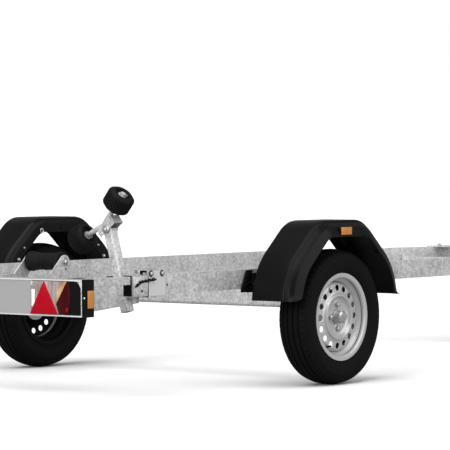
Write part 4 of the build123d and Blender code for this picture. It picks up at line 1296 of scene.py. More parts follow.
class TRAILER_OT_support_fittings(Operator):
    """Add the pivot bolts, shaft nuts and pins of the side rockers and the keel bracket"""

    bl_idname = "trailer.support_fittings"
    bl_label = "Support fittings"

    def execute(self, context):
        for name, side in SIDES:
            self.rocker(name)
            self.post(name, side)
        self.keel()
        return {"FINISHED"}

    def rocker(self, name):
        """Shaft ends, spring clips through them and the pivot's washers."""
        pivot = axle_of(f"side_rocker_{name}").translation
        low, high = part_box(f"rocker_{name}")
        shape = Shape()
        for place in ("inner", "outer"):
            centre = axle_of(f"roller_{name}_{place}")
            shape.turn(centre @ Matrix.Translation((0, 0, SHAFT_TIP * MM)), mm(*SHAFT_LINE), segments=28)
            for end in (-1, 1):
                clip = centre @ Matrix.Translation((0, 0, end * CLIP_OFFSET * MM))
                shape.rod([clip @ Vector(leg) for leg in mm(*CLIP_LINE)], CLIP_WIRE * MM, segments=8)
        for end, x in ((-1, low.x), (1, high.x)):
            shape.washer(seat((x + end * 0.1 * MM, *pivot.yz), (end, 0, 0)), *PIVOT_WASHER)
        shape.publish(f"rocker_fittings_{name}", f"side_rocker_{name}", "zinc_plate")

    def post(self, name, side):
        """Lock nuts on the pivot, and the bolts that clamp the post to the beam's end."""
        low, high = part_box(f"side_post_{name}")
        pivot = axle_of(f"side_rocker_{name}").translation
        out, up = metres(POST_FOOT)
        foot = Vector((pivot.x, side * out, up))
        shape = Shape()
        for end, x in ((-1, low.x), (1, high.x)):
            shape.bolt(seat((x - end * 1 * MM, *pivot.yz), (end, 0, 0)), PIN_NUT, washer=False, tail=2 * MM)
        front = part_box("rear_cross_beam")[1].x
        for share in POST_BOLTS:
            shape.bolt(seat((front, *foot.lerp(pivot, share).yz), (1, 0, 0)), M10, tail=4 * MM)
        shape.publish(f"post_bolts_{name}", "frame", "zinc_plate")

    def keel(self):
        """Pin heads and adjusting holes of the keel roller's bracket, and the bolts of its base."""
        low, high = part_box("keel_roller_bracket")
        roller = axle_of("keel_roller").translation
        washer_in, head_in = metres(KEEL_PIN)
        ahead, below, radius = metres(KEEL_HOLE)
        shape = Shape()
        for side in (-1, 1):
            outward = (0, side, 0)
            shape.washer(seat((roller.x, side * (high.y - washer_in), roller.z), outward), *KEEL_WASHER)
            shape.bolt(seat((roller.x, side * (high.y - head_in), roller.z), outward), PIN_NUT, washer=False)
            face = side * (high.y - KEEL_FACE * MM)
            shape.eyelet(seat((roller.x + ahead, face, roller.z - below), outward), radius)
        for x in metres(KEEL_BASE):
            for side in (-1, 1):
                foot = Vector((low.x + x, side * KEEL_BASE_OUT * MM, low.z + 6 * MM))
                shape.bolt(seat(foot, (0, 0, 1)), M10, tail=3 * MM)
        shape.publish("keel_bracket_fittings", "frame", "zinc_plate dark_recess")


# ---------------------------------------------------------------- rear ends of the rails
RAIL_BOLTS = ((108.5, 489), (175.5, 489))  # (from the rail's tail, height)
RAIL_WASHER = (9, 13, 1.8, 2.4)
RAIL_HOLES = ((52, 423, 5.5), (207, 442.6, 4))  # (from the rail's tail, height, radius)
CHEEK_PLATE = (94, 195, 402, 500, 2)  # (rear edge, front edge, bottom, top, corner radius)
END_PLATE = (1, 89, 402, 481, 8)  # the same
PLATE_SHEETS = (0.8, 1.2, 1.6)  # of the cheek plate, the dark sheet of painted shadow under the end plate, and the end plate
PAINTED_SHADOW_EDGE = 4.5  # of the dark sheet that shows past the end plate's front and lower edges as painted shadow
CLAMP_NUT = (66, 13)  # (from the rail's tail, inboard of the collar's face)
CLAMP_BLOCKS = (  # (ahead of, out from the nut's place, size, softening)
    (0, 0, (38, 24, 17), 1),
    (-24, 0, (3, 24, 19), 0.8),
    (5, 10, (20, 6, 9), 1),
)
TWIST_LINE = ((10, 442), (42, 460), (76, 463), (129, 468))  # (from the rail's tail, height)
TWIST_PROUD = 6  # of the collar's face
TWIST_RADIUS, TWIST_WIRE = 4, 2.8
TWIST_STEPS = 48
TWIST_TURNS = 3
BEAM_CAP = 80  # height of the cap on the beam's end


class TRAILER_OT_rail_ends(Operator):
    """Add the clamp screws, clips, bolts and holes around the rails' rear ends"""

    bl_idname = "trailer.rail_ends"
    bl_label = "Rail ends"

    def execute(self, context):
        for name, side in SIDES:
            low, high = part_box(f"rail_{name}")
            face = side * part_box("rail_collars")[1].y
            bright, dark, plates = Shape(), Shape(), Shape()
            out = seat((low.x, face, 0), (0, side, 0))
            self.add_plates(plates, dark, out, side)
            for reach, z in mm(*RAIL_BOLTS):
                spot = out @ Matrix.Translation((reach, -z * side, 0))
                dark.washer(spot, *RAIL_WASHER)
                bright.bolt(spot, M10, tail=2 * MM)
            for reach, z, radius in mm(*RAIL_HOLES):
                bright.eyelet(out @ Matrix.Translation((reach, -z * side, 1.7 * MM)), radius)
            self.add_clamp(bright, dark, low.x, high.z, face, side)
            self.add_twist(dark, low.x, face, side)
            self.cap_beam(plates, side)
            finishes = "bright_aluminium galvanised_steel"
            plates.publish(f"rail_end_plates_{name}", "frame", finishes, "zinc_plate")
            bright.publish(f"rail_end_fittings_{name}", "frame", "zinc_plate dark_recess")
            dark.publish(f"rail_end_trim_{name}", "frame", "black_paint", "black_plastic")
        return {"FINISHED"}

    def panel(self, side, plate, grow=0):
        """Outline of a plate on a rail's outer face, with its front corners rounded and its edges grown."""
        left, right, low, high, bend = plate
        corners = [(left, low, 0), (right + grow, low - grow, bend), (right + grow, high, 2), (left, high, 0)]
        return [(point.x * MM, -point.y * side * MM) for point in rounded(corners, steps=5)][::-side]

    def add_plates(self, plates, dark, out, side):
        """The bright cheek plate, and the end plate with its rounded corner over a dark sheet that paints the
        shadow along the plate's front and lower edges.
        """
        cheek, shadow_sheet, end = metres(PLATE_SHEETS)
        plates.slab(out, self.panel(side, CHEEK_PLATE), 0, cheek)
        # a dark sheet of painted shadow, showing past the end plate's front and lower edges
        dark.slab(out, self.panel(side, END_PLATE, PAINTED_SHADOW_EDGE), 0, shadow_sheet)
        plates.paint = 1
        plates.slab(out, self.panel(side, END_PLATE), 0, end, soft=0.4 * MM)

    def add_clamp(self, bright, dark, tail, top, face, side):
        """The square clamp nut on the rail's top, behind its bright tab."""
        along, inboard = metres(CLAMP_NUT)
        foot = Vector((tail + along, face - side * inboard, top))
        for shape, (ahead, out, size, soft) in zip((dark, bright, bright), CLAMP_BLOCKS):
            place = seat(foot + Vector((ahead * MM, side * out * MM, 0)), (0, 0, 1))
            shape.block(place, metres(size), soft=soft * MM)

    def add_twist(self, shape, tail, face, side):
        """A locking wire, twisted and laid along the collar from its ring."""
        bends = [Vector((tail + x, face + side * TWIST_PROUD * MM, z)) for x, z in mm(*TWIST_LINE)]
        for phase in (0, math.pi):
            points = []
            for step in range(TWIST_STEPS + 1):
                share = step / TWIST_STEPS * (len(bends) - 1)
                number = min(int(share), len(bends) - 2)
                turn = phase + step / TWIST_STEPS * TWIST_TURNS * 2 * math.pi
                wave = Vector((0, side * math.cos(turn), math.sin(turn))) * TWIST_RADIUS * MM
                points.append(bends[number].lerp(bends[number + 1], share - number) + wave)
            shape.rod(points, TWIST_WIRE * MM, segments=8)

    def cap_beam(self, shape, side):
        """Close the open end of the rear cross beam."""
        low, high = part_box("rear_cross_beam")
        tall = BEAM_CAP * MM
        place = seat(((low.x + high.x) / 2, side * (high.y - 1 * MM), high.z - tall / 2), (0, side, 0))
        shape.block(place, (high.x - low.x, tall, 1.5 * MM), soft=0.6 * MM)


# ---------------------------------------------------------------- light board
LAMP_ZONES = (  # (piece, finish, slot, thickness share, outline as (out from the lamp's inner edge, up))
    ("clear_lens", "clear_lens", "lamp_red", 0.7,
     ((2, 2), (140, 2), (126, 42), (132, 80), (157, 123), (2, 123))),
    ("amber_lens", "amber_lens", "amber_reflector", 0.8, ((127, 40), (179, 123), (157, 123), (131, 80))),
    ("stop_lens", "lamp_red", "lamp_red", 1,
     ((127, 38), (142, 2), (192, 2), (197, 60), (190, 123), (180, 123))),
    # lamp_glint is a painted highlight: a bright red patch on the stop lens where a bulb's glint shows
    ("lamp_glint", "red_reflector", "lamp_red", 1.2,
     ((176, 14), (181, 11), (185, 17), (184, 25), (179, 27), (176, 21))),
    ("plate_window", "white_window", "board_aluminium", 1, ((4, 27), (20, 27), (20, 92), (4, 92))),
    ("window_frame", "bright_aluminium", "board_aluminium", 0.9, ((1, 104), (7, 108), (7, 123), (1, 123))),
)
LAMP_CHAMFER, LAMP_BEND = 20, 9  # millimetres
LAMP_SCREWS = (40, 86)  # above the lamp's lower edge
LAMP_SCREW_OUT = 3  # beyond the lamp's outer edge
SCREW_LINE = ((0, 2.2), (2.6, 1.8), (3.4, 0.8), (3.6, 0))  # (radius, height)
DOME_LINE = ((0, 2.4), (3, 2), (4.6, 1), (5, 0))
TRIANGLE_HALF = 70
BOARD_REFLECTOR = (4, 5)  # (below its node's middle, smaller than its tray)
BOARD_REFLECTOR_SHARES = (0.6, 0.5)  # of its node's depth, for the tray and the lens
BOARD_ARM = 628  # the middle of each arm, from the middle plane
BOARD_BOLTS = (26, 50)  # (out, up) from the middle of an arm's plate
BOARD_PLATE = 5  # thickness of that plate
CAP_SCREW = (11, 1)  # (inboard of the cap's end, above the board's middle)
LIP_DEPTH = 2.4
END_LIP = (4, 10)  # (width, shorter than the board is tall)
BOARD_CORNER = (44, 40, 1.5)  # size of the plate behind a lamp's upper corner
BOARD_CORNER_PLACE = (2, 22, 26)  # (ahead of the board's face, inboard of its end, below its top)
BOARD_EDGES = ((0, 5), (-8, 5.5))  # (from the lower or upper edge up, height) of the long lips


class TRAILER_OT_light_board(Operator):
    """Build the lamps, triangles and reflectors, and dress the light board"""

    bl_idname = "trailer.light_board"
    bl_label = "Light board"

    def execute(self, context):
        sizes = context.scene.trailer_sizes
        for name, side in SIDES:
            self.add_lamp(name, side, sizes)
            self.add_triangle(name, side)
            self.add_side_reflector(name, side)
        self.dress_board()
        return {"FINISHED"}

    def plate(self, shape, side, x, outline, thickness, soft):
        """Extrude an outline of (distance from the middle, height) to the rear from x."""
        place = Matrix(((0, 0, -1, x), (side, 0, 0, 0), (0, 1, 0, 0), (0, 0, 0, 1)))
        shape.slab(place, outline, 0, thickness, soft)

    def add_lamp(self, name, side, sizes):
        low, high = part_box(f"tail_lamp_{name}")
        inner, outer = sorted((abs(low.y), abs(high.y)))
        chamfer, bend = LAMP_CHAMFER * MM, LAMP_BEND * MM
        corners = [(inner, low.z, 0), (outer, low.z, bend), (outer, high.z - 1.5 * chamfer, bend),
                   (outer - 0.8 * chamfer, high.z - 0.2 * chamfer, bend),
                   (outer - 1.5 * chamfer, high.z, bend), (inner, high.z, 0)]
        outline = pairs(rounded(corners, steps=8))
        housing = Shape()
        self.plate(housing, side, high.x, outline, high.x - low.x, soft=1.5 * MM)
        housing.publish(f"lamp_housing_{name}", "lights", "black_plastic",
                        replaces=f"tail_lamp_{name}", sharp=50)
        for piece, finish, slot, share, zone in LAMP_ZONES:
            lens = Shape()
            points = [(inner + out, low.z + up) for out, up in mm(*zone)]
            self.plate(lens, side, low.x + 0.2 * MM, points, sizes.lens_thickness * share, soft=0.8 * MM)
            lens.publish(f"{piece}_{name}", "lights", finish, slot)
        screws = Shape()
        for up in metres(LAMP_SCREWS):
            face = seat((low.x, side * (outer + LAMP_SCREW_OUT * MM), low.z + up), (-1, 0, 0))
            screws.turn(face, mm(*SCREW_LINE), segments=16)
        screws.publish(f"lamp_screws_{name}", "lights", "zinc_plate")

    def add_triangle(self, name, side):
        low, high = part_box("warning_triangles")
        half = TRIANGLE_HALF * MM
        middle = high.y - half
        corners = [(middle, low.z, 0), (middle + half, low.z, 2 * MM), (middle, high.z, 3 * MM),
                   (middle - half, low.z, 2 * MM), (middle, low.z, 0)]
        outline = pairs(rounded(corners, steps=4))[1:-1]
        shape = Shape()
        self.plate(shape, side, high.x, outline, high.x - low.x, soft=0.9 * MM)
        shape.publish(f"warning_triangle_{name}", "lights", "red_reflector",
                      replaces="warning_triangles", sharp=40)

    def add_side_reflector(self, name, side):
        low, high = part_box("light_board_side_reflectors")
        centre = (low + high) / 2
        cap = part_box("light_board_caps")[1].y
        thickness = high.y - cap
        long, tall = high.x - low.x, high.z - low.z
        below, smaller = metres(BOARD_REFLECTOR)
        tray_share, lens_share = BOARD_REFLECTOR_SHARES
        face = seat((centre.x, side * cap, centre.z - below), (0, side, 0))
        tray = Shape()
        tray.block(face, (long, tall, thickness * tray_share), soft=1 * MM)
        tray.publish(f"board_reflector_tray_{name}", "lights", "black_plastic",
                     replaces="light_board_side_reflectors")
        lens = Shape()
        raised = face @ Matrix.Translation((0, 0, thickness * lens_share))
        lens.block(raised, (long - smaller, tall - smaller, thickness * lens_share), soft=1 * MM)
        lens.publish(f"board_reflector_{name}", "lights", "amber_reflector")

    def dress_board(self):
        """Returned lips of the extrusion and end lips, whose brighter finish paints the highlight along the
        board's edges, and the screws of the end caps and arms.
        """
        low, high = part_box("light_board")
        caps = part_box("light_board_caps")[1].y
        middle = (low.z + high.z) / 2
        lips = Shape()
        deep = LIP_DEPTH * MM
        wide, shorter = metres(END_LIP)
        inside, inboard, below = metres(BOARD_CORNER_PLACE)
        back, left = (-1, 0, 0), (0, 1, 0)
        for edge, (rise, tall) in zip((low.z, high.z), mm(*BOARD_EDGES)):
            place = seat((low.x, 0, edge + rise + tall / 2), back, left)
            lips.block(place, (2 * high.y, tall, deep), soft=0.8 * MM)
        for side in (-1, 1):
            place = seat((low.x, side * (high.y - wide / 2), middle), back, left)
            lips.block(place, (wide, high.z - low.z - shorter, deep), soft=0.8 * MM)
            corner = Vector((low.x + inside, side * (high.y - inboard), high.z - below))
            lips.block(seat(corner, back, left), metres(BOARD_CORNER), soft=0.5 * MM)
        lips.publish("board_lips", "lights", "bright_aluminium", "board_aluminium")
        screws = Shape()
        inboard, above = metres(CAP_SCREW)
        for side in (-1, 1):
            spot = Vector((low.x, side * (caps - inboard), middle + above))
            screws.turn(seat(spot, back), mm(*DOME_LINE), segments=16)
            for out, up in four(*BOARD_BOLTS):
                foot = Vector((high.x + BOARD_PLATE * MM, side * (BOARD_ARM * MM + out), middle + up))
                screws.bolt(seat(foot, (1, 0, 0)), M8, tail=2 * MM)
        screws.publish("board_screws", "lights", "zinc_plate")


# ---------------------------------------------------------------- running gear
GUSSET_LINE = ((-10, 482), (30, 482), (66, 400), (64, 392), (-10, 392))  # (along from the stay, height)
GUSSET_SHEET = 4
SADDLE_BOLTS = (55, 50, 18)  # (along from the saddle's middle, from outer to inner bolt, below its top)
STAY_BOLT = (20, 20, 5)  # (in from the stays' ends, above their lower edge, proud of the rail)
HUB_SEAL = (16, 35, 3, 4.5, 2)  # a washer, with its chamfer
ARM_CAP = ((0, 5), (9, 5), (13, 3.5), (15, 0))  # (radius, height)
ARM_CAP_PLACE = (5.8, 61)  # (inboard of the hub, above the axle)


class TRAILER_OT_running_gear(Operator):
    """Add the bolts of the axle's saddles and arms and of the fender stays"""

    bl_idname = "trailer.running_gear"
    bl_label = "Running gear"

    def execute(self, context):
        size = context.scene.trailer_sizes.bolt_size
        saddle_low, saddle_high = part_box("axle_saddles")
        rail_face = max(abs(edge.y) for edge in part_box("rail_left"))
        stay_low, stay_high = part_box("fender_stays")
        middle = (saddle_low.x + saddle_high.x) / 2
        along, between, below = metres(SADDLE_BOLTS)
        inset, above, proud = metres(STAY_BOLT)
        stay_middle, stay_half = (stay_low.x + stay_high.x) / 2, (stay_high.x - stay_low.x) / 2
        for name, side in SIDES:
            shape, stays = Shape(), Shape()
            for end in (-1, 1):
                for out, facing in ((saddle_high.y, side), (saddle_high.y - between, -side)):
                    foot = Vector((middle + end * along, side * out, saddle_high.z - below))
                    shape.bolt(seat(foot, (0, facing, 0)), size * HEAVY, tail=3 * MM)
                x = stay_middle + end * (stay_half - inset)
                foot = Vector((x, side * (rail_face + proud), stay_low.z + above))
                stays.bolt(seat(foot, (0, side, 0)), size, tail=2 * MM)
                self.add_gusset(stays, x, rail_face + proud + 0.5 * MM, end, side)
            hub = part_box(f"hub_{name}")
            inboard = min(abs(hub[0].y), abs(hub[1].y))
            stub = centre_of(f"tyre_{name}")
            seal = seat((stub.x, side * (inboard + 0.2 * MM), stub.z), (0, -side, 0))
            shape.washer(seal, *HUB_SEAL, segments=40)
            sunk, up = metres(ARM_CAP_PLACE)
            cap = seat((middle, side * (inboard - sunk), stub.z + up), (0, side, 0))
            shape.turn(cap, mm(*ARM_CAP), segments=24)
            shape.publish(f"running_gear_bolts_{name}", "frame", "zinc_plate")
            stays.publish(f"stay_brackets_{name}", "frame", "black_paint")
        return {"FINISHED"}

    def add_gusset(self, shape, x, out, end, side):
        """The folded bracket that carries a stay up the rail's outer face."""
        corners = [(end * along * MM, up * MM) for along, up in GUSSET_LINE]
        place = Matrix(((1, 0, 0, x), (0, 0, side, side * out), (0, 1, 0, 0), (0, 0, 0, 1)))
        shape.slab(place, corners, 0, GUSSET_SHEET * MM, soft=0.8 * MM)


# ---------------------------------------------------------------- front end
JOINT_BOLTS = ((45, 78), (45, -78), (140, 52), (140, -52), (290, 0))  # (from the plates' rear edge, left)
CROSS_BOLTS = (-0.88, 0, 0.88)  # shares of the cross plate's half width
COUPLING_BOLTS = (32, 98)  # from the coupling's rear edge
COUPLING_DROP = 36  # those bolts below its top, and its mouth behind its nose
MOUTH_LINE = ((26, 0), (34.5, 0), (34.5, 1.6), (32, 3), (27.5, 3), (26, 1.6))  # (radius, height)
GRIP_RINGS, GRIP_COLUMNS = 12, 16
GRIP_HALF = (3, 8)  # (wider than the handle, half thickness)
GRIP_PLACE = (2, 5)  # its rear end (behind the handle's end, below its top)
GRIP_FALL = (96, 34)  # (length, drop)
GRIP_RIDGE = 0.6
GRIP_END = 0.3  # bulge at both ends, where the middle has 1
GRIP_SWELL = 0.35  # the bulge follows the sine of the way along, to this power


class TRAILER_OT_drawbar(Operator):
    """Add the bolts of the drawbar's plates, the front cross plate and the coupling, and the handle's grip"""

    bl_idname = "trailer.drawbar"
    bl_label = "Drawbar"

    def execute(self, context):
        size = context.scene.trailer_sizes.bolt_size
        shape = Shape()
        low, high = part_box("drawbar_joint_plates")
        for reach, out in mm(*JOINT_BOLTS):
            for z, up in ((high.z, 1), (low.z, -1)):
                shape.bolt(seat((low.x + reach, out, z), (0, 0, up)), size * HEAVY, tail=3 * MM)
        low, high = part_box("front_cross_plate")
        for share in CROSS_BOLTS:
            shape.bolt(seat(((low.x + high.x) / 2, share * high.y, high.z), (0, 0, 1)), size)
        low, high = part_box("coupling_head")
        for side in (-1, 1):
            for reach in metres(COUPLING_BOLTS):
                foot = Vector((low.x + reach, side * high.y, high.z - COUPLING_DROP * MM))
                shape.bolt(seat(foot, (0, side, 0)), size * HEAVY, tail=4 * MM)
        mouth = seat((high.x - COUPLING_DROP * MM, 0, low.z - 0.2 * MM), (0, 0, -1))
        shape.turn(mouth, mm(*MOUTH_LINE), segments=40, closed=True)
        shape.publish("drawbar_bolts", "frame", "zinc_plate")
        self.add_grip()
        return {"FINISHED"}

    def add_grip(self):
        """A moulded grip over the rear half of the coupling's handle."""
        low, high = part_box("coupling_handle")
        wider, thick_half = metres(GRIP_HALF)
        behind, below = metres(GRIP_PLACE)
        long, drop = metres(GRIP_FALL)
        shape = Shape()
        rows = []
        for step in range(GRIP_RINGS + 1):
            share = step / GRIP_RINGS
            bulge = math.sin(math.pi * share) ** GRIP_SWELL if 0 < share < 1 else GRIP_END
            half_w = (high.y + wider) * (0.7 + 0.3 * bulge)
            half_t = thick_half * (0.6 + 0.4 * bulge) + GRIP_RIDGE * MM * (step % 2)
            x = low.x - behind + share * long
            z = high.z - below - share * drop
            ring = []
            for column in range(GRIP_COLUMNS):
                across, up = polar(1, 2 * math.pi * column / GRIP_COLUMNS)
                ring.append(Vector((x, half_w * math.copysign(abs(across) ** 0.5, across),
                                    z + half_t * math.copysign(abs(up) ** 0.7, up))))
            rows.append(ring)
        shape.tube(rows)
        shape.publish("coupling_grip", "frame", "roller_rubber", sharp=50)


# ---------------------------------------------------------------- winch and bow stop
POST_BASE_BOLTS = (60, 46)  # half their spacing, (along, across)
WINCH_BASE_BOLTS = (50, 18)
POST_BASE, WINCH_BASE = 8, 5  # thickness of their base plates
RATCHET = (30, 38, 5, 5)  # (teeth, radius at their feet, their depth, thickness)
RATCHET_INSET = 10.5  # inboard of the winch frame's face
TOOTH_LINE = ((0, 0), (0.18, 0), (0.32, 1), (0.58, 1), (0.72, 0))  # (share of a pitch, raised)
CRANK_FACE = 95  # outer face of the crank, right of the middle plane
CRANK_HUB = 6  # the end of its hub, beyond that face
PAWL_LINE = ((0, 0), (10, 4), (20, 3), (40, -4), (46, -10), (38, -14), (20, -9), (6, -9))  # (along, down)
PAWL_SHEET = 4
PAWL_PLACE = (60, 8)  # (behind, below) the drum's axle
PAWL_BOLT = (10, 3, 4)
SPACER_BOLTS = (50, 42)  # (along from, below) the drum's axle
CRANK_GRIP = (7, 14)  # (proud of the crank's face, above its lower end)
CRANK_RIDGES, RIDGE_PITCH = 7, 12
RIDGE_LINE = ((13.6, 12), (14.6, 15), (14.6, 19), (13.6, 22))  # (radius, along) of the first ridge
CRANK_GRIP_FOOT = ((9, 0), (14.5, 1), (14.9, 6))
CRANK_GRIP_END = ((14.9, 98), (14.9, 101), (9, 102.5), (0, 102.8))
BOW_BENDS = (6, 10, 14)  # corner radii at the front, at the rear and in the notch
BOW_NOTCH = 0.57  # share of the rubber's length, from its rear face
BOW_STOP_BOLT = (12, 20.1)  # (ahead of the rubber, out from the middle plane)


class TRAILER_OT_winch(Operator):
    """Build the winch's gears, pawl and crank grip, the bow stop's rubber and the post's bolts"""

    bl_idname = "trailer.winch"
    bl_label = "Winch"

    def execute(self, context):
        size = context.scene.trailer_sizes.bolt_size
        axle = axle_of("winch_drum").translation
        low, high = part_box("winch_frame")
        self.add_gears(axle, high, size)
        self.add_crank(axle)
        self.add_bow_stop(size)
        post_low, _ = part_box("winch_post")
        clamp_low, clamp_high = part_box("winch_post_clamp")
        shape = Shape()
        middle = (clamp_low.x + clamp_high.x) / 2
        for x, y in four(*POST_BASE_BOLTS):
            shape.bolt(seat((middle + x, y, post_low.z + POST_BASE * MM), (0, 0, 1)), M12, tail=8 * MM)
            shape.bolt(seat((middle + x, y, clamp_low.z), (0, 0, -1)), M12, tail=3 * MM)
        for x, y in four(*WINCH_BASE_BOLTS):
            shape.bolt(seat((axle.x + x, y, low.z + WINCH_BASE * MM), (0, 0, 1)), size * LIGHT, tail=2 * MM)
        shape.publish("winch_post_bolts", "frame", "zinc_plate")
        return {"FINISHED"}

    def add_gears(self, axle, high, size):
        """Drum gear inside the frame, and the pawl with its bolts outside it."""
        teeth, *sizes = RATCHET
        radius, depth, thickness = metres(sizes)
        outline = []
        for tooth in range(teeth):
            for share, raised in TOOTH_LINE:
                outline.append(polar(radius + depth * raised, 2 * math.pi * (tooth + share) / teeth))
        moving = Shape()
        moving.slab(seat((axle.x, high.y - RATCHET_INSET * MM, axle.z), (0, -1, 0)), outline, 0, thickness)
        moving.bolt(seat((axle.x, -(CRANK_FACE + CRANK_HUB) * MM, axle.z), (0, -1, 0)), M12, tail=3 * MM)
        moving.publish("winch_gear", "winch_drum", "zinc_plate")
        fixed = Shape()
        behind, below = metres(PAWL_PLACE)
        face = seat((axle.x - behind, high.y + 0.3 * MM, axle.z - below), (0, 1, 0), (1, 0, 0))
        fixed.slab(face, mm(*PAWL_LINE), 0, PAWL_SHEET * MM, soft=0.8 * MM)
        along, up, raised = metres(PAWL_BOLT)
        fixed.bolt(face @ Matrix.Translation((along, -up, raised)), size * LIGHT)
        along, below = metres(SPACER_BOLTS)
        for x in (-along, along):
            for side in (1, -1):
                spot = Vector((axle.x + x, side * high.y, axle.z - below))
                fixed.bolt(seat(spot, (0, side, 0)), size * LIGHT)
        fixed.publish("winch_pawl", "frame", "zinc_plate")

    def add_crank(self, axle):
        """A ribbed grip that turns on the crank's end."""
        low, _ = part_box("winch_drum")
        proud, above = metres(CRANK_GRIP)
        line = list(CRANK_GRIP_FOOT)
        for ridge in range(CRANK_RIDGES):
            line += [(radius, along + RIDGE_PITCH * ridge) for radius, along in RIDGE_LINE]
        grip = Shape()
        place = seat((axle.x, -CRANK_FACE * MM - proud, low.z + above), (0, -1, 0))
        grip.turn(place, mm(*line, *CRANK_GRIP_END), segments=32)
        grip.publish("winch_crank_grip", "winch_drum", "roller_rubber", sharp=40)

    def add_bow_stop(self, size):
        low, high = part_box("bow_stop")
        half = high.y
        notch = low.x + BOW_NOTCH * (high.x - low.x)
        front, rear, inner = metres(BOW_BENDS)
        corners = [(high.x, 0, 0), (high.x, half, front), (low.x, half, rear), (notch, 0, inner),
                   (low.x, -half, rear), (high.x, -half, front), (high.x, 0, 0)]
        outline = pairs(rounded(corners, steps=5))[1:-1]
        shape = Shape()
        shape.slab(Matrix.Translation((0, 0, low.z)), outline, 0, high.z - low.z, soft=4 * MM, steps=3)
        shape.publish("bow_stop_rubber", "frame", "roller_rubber", replaces="bow_stop", sharp=40)
        bolts = Shape()
        ahead, out = metres(BOW_STOP_BOLT)
        for side in (-1, 1):
            spot = Vector((high.x + ahead, side * out, (low.z + high.z) / 2))
            bolts.bolt(seat(spot, (0, side, 0)), size, tail=2 * MM)
        bolts.publish("bow_stop_bolts", "frame", "zinc_plate")


# ---------------------------------------------------------------- jockey wheel
BOSS_LINE = ((13, -4), (13, 9), (11, 11), (7, 11))  # (radius, height), as the two lines below
KNOB_LINE = ((4.2, 0), (7, 2), (7, 7), (4.5, 9), (0, 9.4))
JOCKEY_GRIP_LINE = (  # (radius, height, bend)
    (7, 0, 0), (14.5, 0, 2), (14.5, 10, 3), (13.4, 40, 20), (14.8, 72, 8), (12, 81, 6), (0, 81.5, 0),
)
BOSS_PLACE = (0.5, 10)  # (its foot into the clamp, its end out from it)
SCREW_LENGTH, HANDLE_PLACE = 22, 17  # from the boss outward
SCREW_RADIUS, HANDLE_RADIUS = 6, 4.2
HANDLE_HALF = 42
HANDLE_LEAN = (0.5, 0, 0.86)  # way along its arm
HANDLE_MIDDLE, KNOB_PLACE = 0.3, 0.9  # shares of the way out along an arm
LUG_BOLTS = (24, 5, 18)  # (out from the leg, in from the clamp's edge, up or down)
FORK_WASHER = (7.2, 13, 1.4, 2)
CRANK_PLACE = (13, 79)  # (in from the crank's end, below its top)


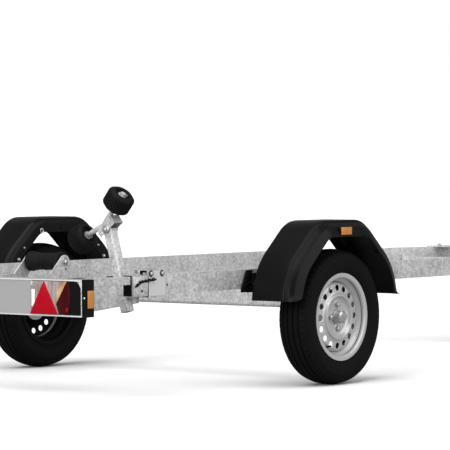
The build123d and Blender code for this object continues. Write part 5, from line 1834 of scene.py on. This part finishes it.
class TRAILER_OT_jockey(Operator):
    """Build the jockey wheel with its tread and hub, the clamp's screw and the crank's grip"""

    bl_idname = "trailer.jockey"
    bl_label = "Jockey wheel"

    def execute(self, context):
        self.add_wheel()
        self.add_fork_nuts()
        self.add_clamp()
        self.add_crank()
        return {"FINISHED"}

    def add_wheel(self):
        low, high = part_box("jockey_wheel")
        half, radius = (high.y - low.y) / 2, (high.z - low.z) / 2
        place = seat((low + high) / 2, (0, 1, 0))
        tyre = Shape()
        corners = [(radius - 34 * MM, 12 * MM, 0), (radius - 32 * MM, half - 4 * MM, 3 * MM),
                   (radius - 22 * MM, half, 5 * MM), (radius - 10 * MM, half, 6 * MM),
                   (radius, half - 12 * MM, 8 * MM), (radius, 5 * MM, 0), (radius - 2.5 * MM, 4 * MM, 0),
                   (radius - 2.5 * MM, 0, 0)]
        tyre.turn(place, mirrored(rounded(corners, steps=5)), segments=72, closed=True)
        tyre.publish("jockey_tyre", "jockey_wheel", "roller_rubber", replaces="jockey_wheel", sharp=40)
        hub = Shape()
        corners = [(7.6 * MM, half, 0), (16 * MM, half, 2 * MM), (19 * MM, 8 * MM, 6 * MM),
                   (radius - 42 * MM, 6 * MM, 6 * MM), (radius - 36 * MM, half - 6 * MM, 3 * MM),
                   (radius - 31.5 * MM, half - 6 * MM, 1 * MM), (radius - 33.5 * MM, 0, 0)]
        hub.turn(place, mirrored(rounded(corners, steps=4)), segments=48, closed=True)
        hub.publish("jockey_hub", "jockey_wheel", "silver_paint", sharp=40)

    def add_fork_nuts(self):
        low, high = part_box("jockey_fork")
        axle = axle_of("jockey_wheel").translation
        shape = Shape()
        for face, side in ((low.y, -1), (high.y, 1)):
            place = seat((axle.x, face - side * 4.8 * MM, axle.z), (0, side, 0))
            shape.washer(place, *FORK_WASHER, segments=24)
            shape.bolt(place @ Matrix.Translation((0, 0, 2 * MM)), PIN_NUT, washer=False)
        shape.publish("jockey_axle_nuts", "jockey_fork", "zinc_plate")

    def add_clamp(self):
        """The clamp's split lugs, with a screw and its bent handle."""
        low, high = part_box("jockey_clamp")
        leg_low, leg_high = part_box("jockey_leg")
        middle = (low + high) / 2
        x = (leg_low.x + leg_high.x) / 2
        shape = Shape()
        sunk, proud = metres(BOSS_PLACE)
        shape.turn(seat((x, low.y + sunk, middle.z), (0, -1, 0)), mm(*BOSS_LINE), segments=28)
        screw = Vector((x, low.y - proud, middle.z))
        shape.rod([screw, screw - Vector((0, SCREW_LENGTH * MM, 0))], SCREW_RADIUS * MM, segments=16)
        grip = screw - Vector((0, HANDLE_PLACE * MM, 0))
        arm = Vector(HANDLE_LEAN) * HANDLE_HALF * MM
        inner = arm * HANDLE_MIDDLE
        shape.rod([grip - arm, grip - inner, grip + inner, grip + arm], HANDLE_RADIUS * MM, segments=12)
        for end in (-1, 1):
            shape.turn(seat(grip + arm * end * KNOB_PLACE, arm * end), mm(*KNOB_LINE), segments=16)
        out, inset, rise = metres(LUG_BOLTS)
        for end in (-1, 1):
            for up in (-rise, rise):
                foot = Vector((x + end * out, high.y - inset, middle.z + up))
                shape.bolt(seat(foot, (end, 0, 0)), M8)
        shape.publish("jockey_clamp_screw", "frame", "zinc_plate")

    def add_crank(self):
        """The crank's turned grip."""
        low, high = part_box("jockey_outer_tube")
        leg_low, leg_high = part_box("jockey_leg")
        inset, below = metres(CRANK_PLACE)
        place = seat(((leg_low.x + leg_high.x) / 2, low.y + inset, high.z - below), (0, 0, 1))
        grip = Shape()
        grip.turn(place, pairs(rounded(mm(*JOCKEY_GRIP_LINE), steps=4)), segments=32)
        grip.publish("jockey_crank_grip", "frame", "roller_rubber", sharp=40)


# ---------------------------------------------------------------- panel and running order
OPERATORS = (
    TRAILER_OT_stage,
    TRAILER_OT_frame_finish,
    TRAILER_OT_tyres,
    TRAILER_OT_wheels,
    TRAILER_OT_fenders,
    TRAILER_OT_rollers,
    TRAILER_OT_support_fittings,
    TRAILER_OT_rail_ends,
    TRAILER_OT_light_board,
    TRAILER_OT_running_gear,
    TRAILER_OT_drawbar,
    TRAILER_OT_winch,
    TRAILER_OT_jockey,
)


class TRAILER_PT_looks(Panel):
    """The trailer's pieces and their settings"""

    bl_idname = "TRAILER_PT_looks"
    bl_label = "Boat trailer"
    bl_space_type = "VIEW_3D"
    bl_region_type = "UI"
    bl_category = "Trailer"

    def draw(self, context):
        for operator in OPERATORS:
            self.layout.operator(operator.bl_idname)
        scene = context.scene
        for settings in (scene.trailer_stage, scene.trailer_sizes, scene.trailer_colours):
            box = self.layout.box()
            for name in settings.__annotations__:
                box.prop(settings, name)


SETTINGS = (TrailerStageSettings, TrailerColours, TrailerSizes)


def register():
    for kind in (*SETTINGS, *OPERATORS, TRAILER_PT_looks):
        bpy.utils.register_class(kind)
    bpy.types.Scene.trailer_stage = PointerProperty(type=TrailerStageSettings)
    bpy.types.Scene.trailer_colours = PointerProperty(type=TrailerColours)
    bpy.types.Scene.trailer_sizes = PointerProperty(type=TrailerSizes)


def unregister():
    del bpy.types.Scene.trailer_sizes
    del bpy.types.Scene.trailer_colours
    del bpy.types.Scene.trailer_stage
    for kind in (TRAILER_PT_looks, *reversed(OPERATORS), *reversed(SETTINGS)):
        bpy.utils.unregister_class(kind)


def main():
    register()
    for operator in OPERATORS:
        family, name = operator.bl_idname.split(".")
        getattr(getattr(bpy.ops, family), name)()


if __name__ == "__main__":
    main()
